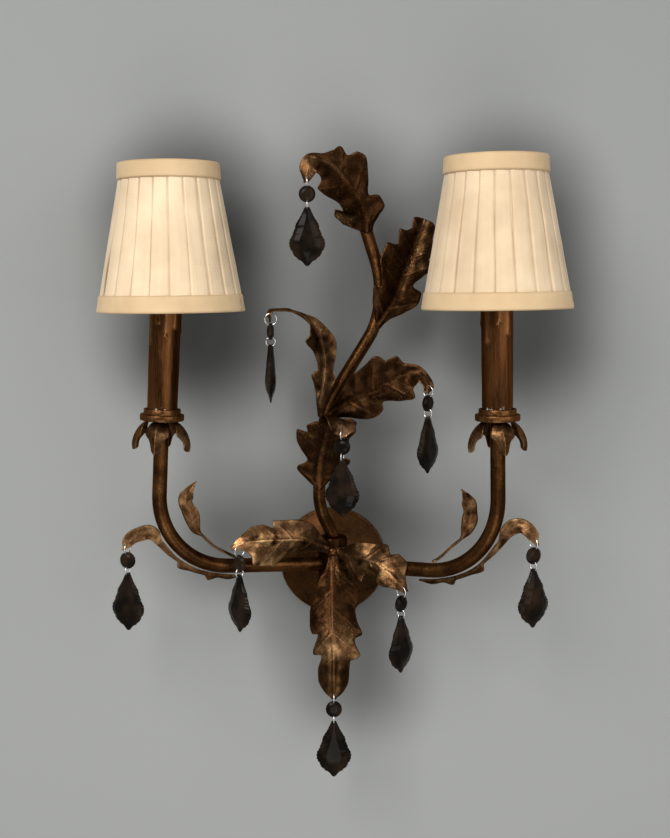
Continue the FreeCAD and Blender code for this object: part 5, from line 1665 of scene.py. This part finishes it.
@dataclass
class Candle(Part):
    """Petals, drip pan, sleeve and lamp of one candle, with the clip that grips the lamp."""

    side: Side
    pan: Table = (
        (6.4, 0.0), (18.1, 0.0), (18.8, 0.25), (19.0, 0.9), (19.0, 4.5), (18.8, 5.05),
        (18.3, 5.25), (16.1, 5.25), (15.9, 5.5), (15.9, 9.4), (15.7, 9.8), (15.3, 9.9),
        (14.25, 9.9), (14.25, 5.2), (6.4, 5.2),
    )
    pan_top: float = 9.9
    foot: float = 5.25
    top: float = 105.2
    sleeve_radius: float = 12.95
    sleeve_taper: float = 0.55
    sleeve_limit: float = 14.2
    sleeve_points: int = 120
    sleeve_levels: int = 130
    wall: float = 1.3
    run_width: float = 9.0
    run_round: float = 2.4
    petal_count: int = 4
    petal_span: float = 24.0
    petal_rib: Table = (
        (0.36, -0.03), (0.58, -0.08), (0.80, -0.26), (0.97, -0.54), (1.05, -0.84), (1.03, -1.10),
    )
    petal_right: Table = (
        (0, 0.19), (0.15, 0.30), (0.30, 0.44), (0.42, 0.49), (0.58, 0.37), (0.74, 0.28),
        (0.88, 0.25), (0.96, 0.22), (1, 0.13),
    )
    petal_left: Table = (
        (0, 0.19), (0.15, 0.30), (0.32, 0.46), (0.46, 0.49), (0.60, 0.35), (0.76, 0.27),
        (0.90, 0.24), (0.96, 0.21), (1, 0.12),
    )
    petal_ring: Table = (
        (6.5, -1.1), (9.6, -1.1), (10.0, -0.9), (10.0, -0.5), (9.6, -0.3), (6.5, -0.3),
    )
    glass_foot: float = 104.0
    glass_length: float = 82.0
    glass_radius: float = 17.5
    glass_wall: float = 0.7
    glass_neck: float = 3.85
    flame: Table = (
        (0.0, 0.26), (0.05, 0.52), (0.19, 0.88), (0.33, 1.0), (0.55, 0.86), (0.78, 0.52),
        (0.92, 0.22), (1.0, 0.0),
    )
    cap_foot: Table = ((0.0, 85.0), (2.4, 85.0), (2.6, 86.4), (5.0, 87.2))
    cap_top: Table = ((5.85, 102.4), (5.9, 103.9), (0.0, 103.9))
    thread_crest: tuple[float, float] = (5.85, 88.2)
    thread_root: tuple[float, float] = (5.35, 88.87)
    thread_pitch: float = 1.35
    thread_turns: int = 10
    post: Table = ((1.5, 104.0), (2.2, 126.0), (4.2, 138.0))
    clip_disc: Table = (
        (0.0, 186.6), (5.6, 186.6), (6.0, 186.75), (6.0, 186.95), (5.4, 187.2), (3.2, 187.6),
        (0.0, 187.6),
    )
    clip_rivet: Table = (
        (0.0, 187.1), (1.5, 187.1), (1.5, 189.6), (2.6, 189.6), (2.8, 189.9), (2.3, 190.4),
        (0.0, 190.6),
    )
    clip_start: Place = (4.24, 2.12, 187.1)
    clip_turns: Table = ((0.92, 10), (0.78, 24), (0.62, 30), (0.47, 24), (0.44, 8))
    clip_gap: float = 1.5

    def wax(self, angle: float, height: float) -> float:
        """Measures the run wax at a place on the sleeve.

        Args:
            angle: the place's angle round the sleeve.
            height: its height.

        Returns:
            Thickness of the wax in millimetres.
        """
        thickness = 0.0
        for middle, tip, size in WAX[self.side]:
            turn = (math.degrees(angle) - middle + 180) % 360 - 180
            above = (height - tip) / self.run_round
            if above > -1:
                bulge = 1.0 + 0.7 * bell(above - 0.4, 1.0)
                swell = size * bell(turn, self.run_width) * min(1.0, (above + 1) ** 0.5) * bulge
                thickness = max(thickness, swell)
        return thickness

    def waxed(self, column: int, height: float) -> Spot:
        """Reads the outer side of the sleeve.

        Args:
            column: number of the point round the sleeve.
            height: height on the candle's axis.

        Returns:
            The point, with the wear of the wax runs and white chips near the foot.
        """
        angle = math.tau * column / self.sleeve_points
        share = (height - self.foot) / 100.0
        thick = self.wax(angle, height)
        across, ahead = math.cos(angle), math.sin(angle)
        uneven = noise.noise(Vector((across, ahead, height / 30)) * 1.6) * 0.18
        radius = self.sleeve_radius + self.sleeve_taper * share + uneven + 0.85 * thick
        chips = clamped(4 * noise.noise(Vector((across, ahead, self.side.value)) * 1.9))
        chips *= max(0.0, 1 - (height - self.pan_top) / 3.0) if height > 9 else 0.0
        values = {"wear": min(1.0, 0.12 + 0.75 * min(thick, 1.0)), "chalk": chips}
        uv = (column / self.sleeve_points, share)
        return Spot(min(radius, self.sleeve_limit), angle, uv, values)

    def bore(self, column: int, height: float) -> Spot:
        """The plain inner side of the sleeve, alike at every height."""
        radius = self.sleeve_radius - self.wall
        angle = math.tau * column / self.sleeve_points
        return Spot(radius, angle, (0.0, 0.0), {"wear": 0.0, "chalk": 0.0})

    def sleeve(self) -> bpy.types.Object:
        """The slightly tapered sleeve with runs of wax."""
        heights = spread(self.foot, self.top, self.sleeve_levels)
        skin = Skin(self.sleeve_points, heights, self.waxed, self.bore)
        place, finish = self.mechanics.stand(self.side), self.finishes["candle_bronze"]
        return skin.build(f"candle_sleeve_{self.side.word}_waxed", place, 0.0, finish)

    def petals(self) -> list[bpy.types.Object]:
        """Four toothed petals and the stamped ring that they hang from."""
        word = self.side.word
        span = self.petal_span
        petal = Leaf(
            f"petals_{word}_pressed",
            [Vector((r * span, 0, z * span)) for r, z in self.petal_rib],
            [UP, Vector((1, 0, 1)), Vector((1, 0, 0))],
            ((0, 0), (0.3, -22), (0.65, -40), (1, -48)), 0.0,
            scaled(self.petal_right, span), scaled(self.petal_left, span),
            ((0, 0.12), (0.5, 0.32), (1, 0.7)), stations=64, lateral=9, pressed=0.3,
        ).build(self.finishes)
        first = -0.08 if self.side is Side.LEFT else 0.12
        sizes = {"Count": self.petal_count, "First angle": first}
        RoundRecipe(f"petal_round_{word}", self.finishes["leaf_bronze"]).run(petal, **sizes)
        place = self.mechanics.stand(self.side)
        ring = lathe(f"petals_{word}_ring", self.petal_ring, place, self.finishes["arm_bronze"])
        return [moved(petal, place), ring]

    def lamp(self) -> list[tuple[bpy.types.Object, str]]:
        """Makes the flame lamp.

        Returns:
            Glass shell, brass cap with its thread, and filament on its posts, each with its slot.
        """
        place = self.mechanics.stand(self.side)
        word = self.side.word
        shares = [step / 40 for step in range(41)]
        outer = [
            (smooth_reading(self.flame, share) * self.glass_radius, self.glass_height(share))
            for share in shares
        ]
        inner = [(max(r - self.glass_wall, 0.0), z - 0.5) for r, z in reversed(outer[1:])]
        inner.append((self.glass_neck, self.glass_foot))
        glass = lathe(f"lamp_{word}_glass", outer + inner, place, self.finishes["lamp_glass"], 48)
        cap = [*self.cap_foot]
        for turn in range(self.thread_turns):
            rise = self.thread_pitch * turn
            cap += [(r, z + rise) for r, z in (self.thread_crest, self.thread_root)]
        cap += self.cap_top
        brass = lathe(f"lamp_{word}_cap", cap, place, self.finishes["clip_brass"], 40, closed=False)
        lines = [
            [place @ Vector((sign * x, 0, z)) for x, z in self.post] for sign in (-1, 1)
        ]
        reach, height = self.post[-1]
        coil = []
        for step in range(161):
            twist = step * 0.9
            rise = 3.0 * math.sin(math.pi * step / 160) + 0.5 * math.sin(twist)
            across = reach - 2 * reach * step / 160
            coil.append(place @ Vector((across, 0.5 * math.cos(twist), height + rise)))
        filament = TubeRecipe(f"filament_wire_{word}", self.finishes["zinc_steel"])
        wires = filament.follow(f"lamp_{word}_filament", [*lines, coil], 0.22, 6)
        return [(glass, "lamp_glass"), (brass, "clip_brass"), (wires, "zinc_steel")]

    def glass_height(self, share: float) -> float:
        """Height of a share of the lamp's glass."""
        return self.glass_foot + self.glass_length * share

    def clip(self) -> list[bpy.types.Object]:
        """Two sprung wire loops round the lamp, with the disc and rivet that carry the shade."""
        place = self.mechanics.stand(self.side)
        word = self.side.word
        brass = self.finishes["clip_brass"]
        loops = []
        for sign in (-1, 1):
            mirror = Matrix.Diagonal((sign, 1, 1))
            half = [mirror @ Vector(self.clip_start)]
            for share, degrees in self.clip_turns:
                r = smooth_reading(self.flame, share) * self.glass_radius + self.clip_gap
                turn = math.radians(degrees)
                spot = (r * math.cos(turn), r * math.sin(turn), self.glass_height(share))
                half.append(mirror @ Vector(spot))
            loop = half + [Vector((spot.x, -spot.y, spot.z)) for spot in reversed(half)]
            loops.append([place @ curve_point(loop, step / 90) for step in range(91)])
        wire = TubeRecipe(f"clip_wire_{word}", brass)
        springs = wire.follow(f"bulb_clip_{word}_loops", loops, 0.8, 10)
        disc = lathe(f"bulb_clip_{word}_disc", self.clip_disc, place, brass, 48, closed=False)
        shade = self.mechanics.shade(self.side)
        rivet = lathe(f"bulb_clip_{word}_rivet", self.clip_rivet, shade, brass, 32, closed=False)
        return [springs, disc, rivet]

    def build(self) -> list[bpy.types.Object]:
        """Makes the candle's pieces."""
        word = self.side.word
        pan = lathe(
            f"drip_pan_{word}_turned", self.pan, self.mechanics.stand(self.side),
            self.finishes["arm_bronze"], 96, chalk=lambda z: 0.3 if z > 9.85 else 0.0,
            wear=lambda radius: 0.5,
        )
        clip = f"clip_{word}"
        rows = [(pan, "lamp", "bronze", "drip_pan")]
        rows.append((self.sleeve(), "lamp", "candle_bronze", "candle_sleeve"))
        rows += [(piece, "lamp", "bronze", "petals") for piece in self.petals()]
        rows += [(piece, "lamp", slot, "bulb") for piece, slot in self.lamp()]
        rows += [(piece, clip, "clip_brass", "bulb_clip") for piece in self.clip()]
        return [fitted(piece, body, f"{node}_{word}") for piece, body, slot, node in rows]


@dataclass
class Pendant:
    """A ring, a cut bead, a smaller link and a flat cut drop, which hang from a leaf's hole."""

    finishes: Finishes
    name: str
    ring_radius: float = 5.0
    ring_drop: float = 5.5
    bead_drop: float = 15.9
    link_radius: float = 4.0
    link_drop: float = 24.7
    drop_top: float = 27.0
    wire: float = 0.52
    facets: int = 8
    bead_radius: float = 7.55
    bead_table: tuple[float, float] = (0.46, 3.0)
    bead_star: tuple[float, float] = (0.74, 2.35)
    bead_girdle: tuple[float, float] = (0.96, 0.8)
    length: float = 50.0
    half_width: float = 15.7
    half_depth: float = 4.5
    teeth: int = 18
    notch: float = 0.96
    outline: Table = (
        (0.0, 0.13), (0.03, 0.18), (0.16, 0.38), (0.26, 0.58), (0.31, 0.66), (0.35, 0.67),
        (0.43, 0.78), (0.48, 0.82), (0.55, 0.96), (0.62, 1.0), (0.70, 0.95), (0.77, 0.80),
        (0.81, 0.77), (0.86, 0.58), (0.89, 0.50), (0.93, 0.26), (0.97, 0.17), (1.0, 0.07),
    )
    table: Table = ((0.0, 0.5), (0.12, 0.35), (0.6, 1.0), (0.9, 0.2), (1.0, 0.1))
    table_width: float = 0.42
    bevel: tuple[float, float] = (0.74, 0.62)
    edge: float = 0.12

    def place(self) -> Matrix:
        """Matrix of the pendant at its hole: Y along the hole, Z up."""
        swing = next(row for row in frame["joints"] if row["name"] == f"bead_{self.name}_swing")
        through = Vector(swing["axis"]).normalized()
        turn = Matrix((through.cross(UP), through, UP)).transposed().to_4x4()
        return Matrix.Translation(Vector(swing["pos_m"]) / MM) @ turn

    def bead(self) -> bpy.types.Object:
        """Round bead cut with a table, star and kite facets on both faces."""
        maker = MeshMaker(f"bead_{self.name}_cut")
        centre = Matrix.Translation((0, 0, -self.bead_drop))
        frontal = self.place() @ centre @ Matrix.Rotation(math.pi / 2, 4, "X")
        many = self.facets

        def ring(count: int, level: tuple[float, float], sign: int, phase: float) -> list[int]:
            radius, depth = level[0] * self.bead_radius, level[1] * sign
            return [
                maker.add(frontal @ Vector((radius * math.cos(t), radius * math.sin(t), -depth)))
                for t in turns(count, phase)
            ]

        girdles = []
        for sign in (-1, 1):
            table = ring(many, self.bead_table, sign, 0.5)
            stars = ring(many, self.bead_star, sign, 0.0)
            girdle = ring(2 * many, self.bead_girdle, sign, 0.0)
            maker.face(*table)
            for index in range(many):
                after = (index + 1) % many
                middle = girdle[2 * index + 1]
                maker.face(stars[after], table[index], stars[index], middle)
                maker.face(table[index], table[after], stars[after])
                maker.face(stars[index], girdle[2 * index], middle)
                maker.face(stars[index], girdle[2 * index - 1], girdle[2 * index])
            girdles.append(girdle)
        maker.grid(girdles, closed=True)
        return outward(maker.build([self.finishes["black_crystal"]], smooth=False))

    def drop(self) -> bpy.types.Object:
        """Flat drop with a scalloped edge, fluted bevels and a long table."""
        maker = MeshMaker(f"drop_{self.name}_cut")
        place = self.place()
        levels = 2 * self.teeth
        rows = []
        for level in range(levels + 1):
            share = level / levels
            wide = smooth_reading(self.outline, share)
            half = self.half_width * wide
            deep = self.half_depth * min(1.0, 0.4 + 0.6 * wide) * min(1.0, 0.3 + (1 - share) * 3)
            flat = half * self.table_width * smooth_reading(self.table, share)
            rim = half * self.notch if level % 2 and 1 < level < levels - 1 else half
            side = ((rim, self.edge), (half * self.bevel[0], self.bevel[1]), (flat, 1.0))
            face = [*side, *((-x, y) for x, y in reversed(side))]
            face += [(x, -y) for x, y in reversed(face)]
            height = -self.drop_top - self.length * share
            rows.append([maker.add(place @ Vector((x, deep * y, height))) for x, y in face])
        maker.grid(rows, closed=True)
        maker.face(*rows[0])
        maker.face(*rows[-1])
        return outward(maker.build([self.finishes["black_crystal"]], smooth=False))

    def hoop(self, word: str, radius: float, drop: float) -> bpy.types.Object:
        """Bends a jump ring in the plane of the hole.

        Args:
            word: what it is called, ring or link.
            radius: its middle radius.
            drop: how far its middle hangs below the hole.

        Returns:
            The ring.
        """
        place = self.place()
        path = [
            place @ Vector((0, radius * math.sin(turn), -drop + radius * math.cos(turn)))
            for turn in turns(40)
        ]
        wire = TubeRecipe(f"ring_wire_{word}_{self.name}", self.finishes["chrome_wire"])
        return wire.follow(f"{word}_{self.name}", [path], self.wire, 10, closed=True)

    def build(self) -> list[bpy.types.Object]:
        """Makes the pendant's four pieces."""
        bead, drop = f"bead_{self.name}", f"drop_{self.name}"
        ring = self.hoop("ring", self.ring_radius, self.ring_drop)
        link = self.hoop("link", self.link_radius, self.link_drop)
        return [
            fitted(ring, bead, bead),
            fitted(self.bead(), bead, bead),
            fitted(link, drop, drop),
            fitted(self.drop(), drop, drop),
        ]


@dataclass
class WallSide(Part):
    """Backplate, hub and the screw that holds the middle leaves."""

    plate: Table = (
        (5.1, 20.0), (14.0, 20.0), (19.0, 19.7), (24.0, 17.9), (31.0, 14.0), (38.0, 10.3),
        (42.0, 8.4), (46.0, 6.3), (48.2, 5.0), (49.3, 3.9), (50.0, 2.4), (50.0, 0.4), (49.6, 0.0),
        (48.8, 0.0), (48.8, 1.8), (41.0, 7.8), (19.0, 18.8), (5.1, 18.8),
    )
    barrel: Table = (
        (0.0, -16.0), (3.4, -16.0), (4.7, -15.3), (5.0, -13.8), (5.0, -12.2), (6.0, -12.0),
        (10.2, -12.0), (12.2, -11.0), (13.0, -9.0), (13.0, 29.0), (12.2, 31.2), (10.2, 32.0),
        (0.0, 32.0),
    )
    screw: Table = (
        (0.0, -10.1), (2.0, -10.1), (2.0, 0.0), (3.6, 0.0), (3.6, 0.7), (3.2, 1.5), (2.2, 2.1),
        (0.9, 2.4), (0.0, 2.4),
    )
    screw_seat: float = 58.9
    # Radius beyond which the plate's rim is painted copper all round: a painted highlight of its bright edge.
    highlight_rim_radius: float = 49.0

    def build(self) -> list[bpy.types.Object]:
        """Makes the three turned pieces."""
        own = self.mechanics
        seat = Vector((0, -self.screw_seat, own.screw_height))
        plate = lathe(
            "backplate_spun", self.plate, own.aimed(Vector(), FORWARD),
            self.finishes["plate_bronze"], 128,
            # Painted highlight: the rim beyond this radius is fully worn to copper.
            wear=lambda radius: 1.0 if radius > self.highlight_rim_radius else 0.15,
        )
        # The hub takes the dark leaf bronze with no wear: painted shade, as it lies in shade behind the leaves.
        barrel = lathe(
            "hub_turned", self.barrel, Matrix.Translation(FORWARD * own.hub_forward),
            self.finishes["leaf_bronze"], closed=False, wear=lambda radius: 0.0,
        )
        screw = lathe(
            "leaf_screw_domed", self.screw, own.aimed(seat, FORWARD), self.finishes["arm_bronze"],
            32, closed=False,
        )
        rows = ((plate, "backplate"), (barrel, "hub"), (screw, "leaf_screw"))
        return [fitted(piece, "lamp", node) for piece, node in rows]


def dress_nodes(finishes: Finishes) -> None:
    """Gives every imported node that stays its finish.

    Args:
        finishes: the lamp's materials by name.
    """
    dress = {**finishes, "bronze": finishes["arm_bronze"]}
    slots = {row["node"]: row["material_slot"] for row in frame["record"]["subparts"]}
    for node, shown in frame["nodes"].items():
        for slot in shown.material_slots:
            slot.material = dress[slots[node]]
        if not shown.material_slots:
            shown.data.materials.append(dress[slots[node]])


@dataclass(frozen=True)
class Shadow:
    """A soft dark patch of the wall round a line or a point, in metres."""

    middle: tuple[float, float]
    half: tuple[float, float]
    core: float
    reach: float
    depth: float


@dataclass(frozen=True)
class Lamp:
    """A square soft light of the studio."""

    name: str
    place: Place
    size: float
    power: float
    colour: Colour


@dataclass
class Studio:
    """Wall, floor, lights and camera; the camera's numbers in pixels are the photograph's."""

    # The wall is painted darker towards the top: painted shade that evens out the stronger light up there.
    wall_high: Colour = (0.298, 0.315, 0.322)
    wall_low: Colour = (0.362, 0.380, 0.384)
    wall_gap: float = 0.6
    floor_level: float = -900.0
    side_reach: float = 2500.0
    floor_reach: float = 4000.0
    shadows: tuple[Shadow, ...] = (
        Shadow((-0.133, 0.272), (0.0, 0.055), 0.028, 0.117, 0.76),
        Shadow((0.165, 0.272), (0.0, 0.055), 0.028, 0.117, 0.72),
        Shadow((0.020, 0.113), (0.0, 0.227), 0.009, 0.098, 0.50),
        Shadow((0.009, 0.021), (0.123, 0.0), 0.0, 0.09, 0.48),
    )
    lamps: tuple[Lamp, ...] = (
        Lamp("key", (-0.8, -1.7, 1.2), 1.1, 31, (1.0, 0.96, 0.9)),
        Lamp("fill", (1.1, -1.5, 0.5), 1.3, 10, (1.0, 0.97, 0.93)),
        Lamp("low", (0.0, -1.4, -0.6), 0.8, 5, (1.0, 0.95, 0.9)),
    )
    aim: Place = (0, -0.06, 0.12)
    sky: Colour = (0.94, 0.92, 0.89)
    sky_power: float = 0.33
    camera_place: Place = (0.002, -1.1, 0.266)
    camera_tilt: float = 3.4
    film: float = 36.0
    picture_height: float = 838.0
    focal_length: float = 1166.0
    picture_shift: float = -69.7

    def shade(self, paint: Shader, place: bpy.types.Node, shadow: Shadow) -> bpy.types.NodeSocket:
        """Works out how much light one shadow leaves on the wall.

        Args:
            paint: the wall's material.
            place: the node that splits the wall's own place.
            shadow: the shadow.

        Returns:
            1 outside the shadow, and less inside.
        """
        reach = []
        for axis, middle, half in zip("XZ", shadow.middle, shadow.half):
            away = paint.math("ABSOLUTE", paint.math("SUBTRACT", place.outputs[axis], middle))
            over = paint.math("MAXIMUM", paint.math("SUBTRACT", away, half), 0.0)
            reach.append(paint.math("POWER", over, 2.0))
        near = paint.node(
            "ShaderNodeMapRange",
            {
                "Value": paint.math("SQRT", paint.plus(*reach)),
                "From Min": shadow.core,
                "From Max": shadow.reach,
                "To Min": 1.0 - shadow.depth,
            },
            interpolation_type="SMOOTHSTEP",
        )
        return near.outputs[0]

    def paint(self) -> bpy.types.Material:
        """Grey paint, darker towards the top as painted shade, with the painted soft shadows, clear from behind
        for a camera that stands there.
        """
        paint = Shader("wall_paint")
        place = paint.node("ShaderNodeSeparateXYZ", {"Vector": paint.place})
        light = paint.product(1.0, *(self.shade(paint, place, shadow) for shadow in self.shadows))
        grey = paint.mix(
            paint.band(place.outputs["Z"], -0.2, 0.55), self.wall_low, self.wall_high
        )
        paint.set(Base_Color=paint.mix(light, (0.0, 0.0, 0.0), grey), Roughness=0.9)
        clear = paint.node("ShaderNodeBsdfTransparent").outputs[0]
        behind = paint.node("ShaderNodeNewGeometry").outputs["Backfacing"]
        inputs = {0: behind, 1: paint.surface.outputs[0], 2: clear}
        mixed = paint.node("ShaderNodeMixShader", inputs)
        paint.fill(paint.tree.nodes["Material Output"].inputs[0], mixed.outputs[0])
        return paint.material

    def room(self) -> None:
        """Sets up the wall behind the lamp and the floor far below it."""
        side, gap, level = self.side_reach, self.wall_gap, self.floor_level
        sheets = {
            "wall": (
                (-side, gap, level), (side, gap, level), (side, gap, side), (-side, gap, side),
            ),
            "floor": (
                (-side, -self.floor_reach, level), (side, -self.floor_reach, level),
                (side, gap, level), (-side, gap, level),
            ),
        }
        paint = self.paint()
        for name, corners in sheets.items():
            maker = MeshMaker(name)
            maker.face(*[maker.add(corner) for corner in corners])
            maker.build([paint], smooth=False)

    def light(self, lamp: Lamp) -> None:
        """Hangs a light that looks at the lamp's middle."""
        data = bpy.data.lights.new(lamp.name, "AREA")
        data.size, data.energy, data.color = lamp.size, lamp.power, lamp.colour
        hung = bpy.data.objects.new(lamp.name, data)
        hung.location = lamp.place
        way = Vector(self.aim) - Vector(lamp.place)
        hung.rotation_euler = way.to_track_quat("-Z", "Y").to_euler()
        bpy.context.scene.collection.objects.link(hung)

    def build(self) -> None:
        """Sets the stage."""
        scene = bpy.context.scene
        scene.view_settings.view_transform = "Standard"
        self.room()
        scene.world = bpy.data.worlds.new("studio")
        scene.world.use_nodes = True
        sky = scene.world.node_tree.nodes["Background"]
        sky.inputs[0].default_value = (*self.sky, 1)
        sky.inputs[1].default_value = self.sky_power
        for lamp in self.lamps:
            self.light(lamp)
        data = bpy.data.cameras.new("camera")
        data.sensor_width = self.film
        data.lens = self.focal_length / self.picture_height * self.film
        data.shift_y = self.picture_shift / self.picture_height
        camera = bpy.data.objects.new("camera", data)
        camera.location = self.camera_place
        camera.rotation_euler = (math.radians(90 - self.camera_tilt), 0, 0)
        scene.collection.objects.link(camera)
        scene.camera = camera


def main() -> None:
    """Builds the lamp's pieces in order and reports each."""
    logging.basicConfig(level=logging.INFO, format="%(message)s")
    finishes = {finish.name: finish.material() for finish in FINISHES}
    mechanics = Mechanics()
    dress_nodes(finishes)
    foliage = Foliage(mechanics, finishes)
    made = [*WallSide(mechanics, finishes).build(), *Frame(mechanics, finishes).build()]
    made += [*foliage.leaves(), *foliage.sprigs()]
    for name in PENDANTS:
        made += Pendant(finishes, name).build()
    for side in Side:
        made += Candle(mechanics, finishes, side).build()
        made += Shade(mechanics, finishes, side).build()
    Studio().build()
    for piece in made:
        LOG.info("%s: %d faces", piece.name, len(piece.data.polygons))


if __name__ == "__main__":
    main()
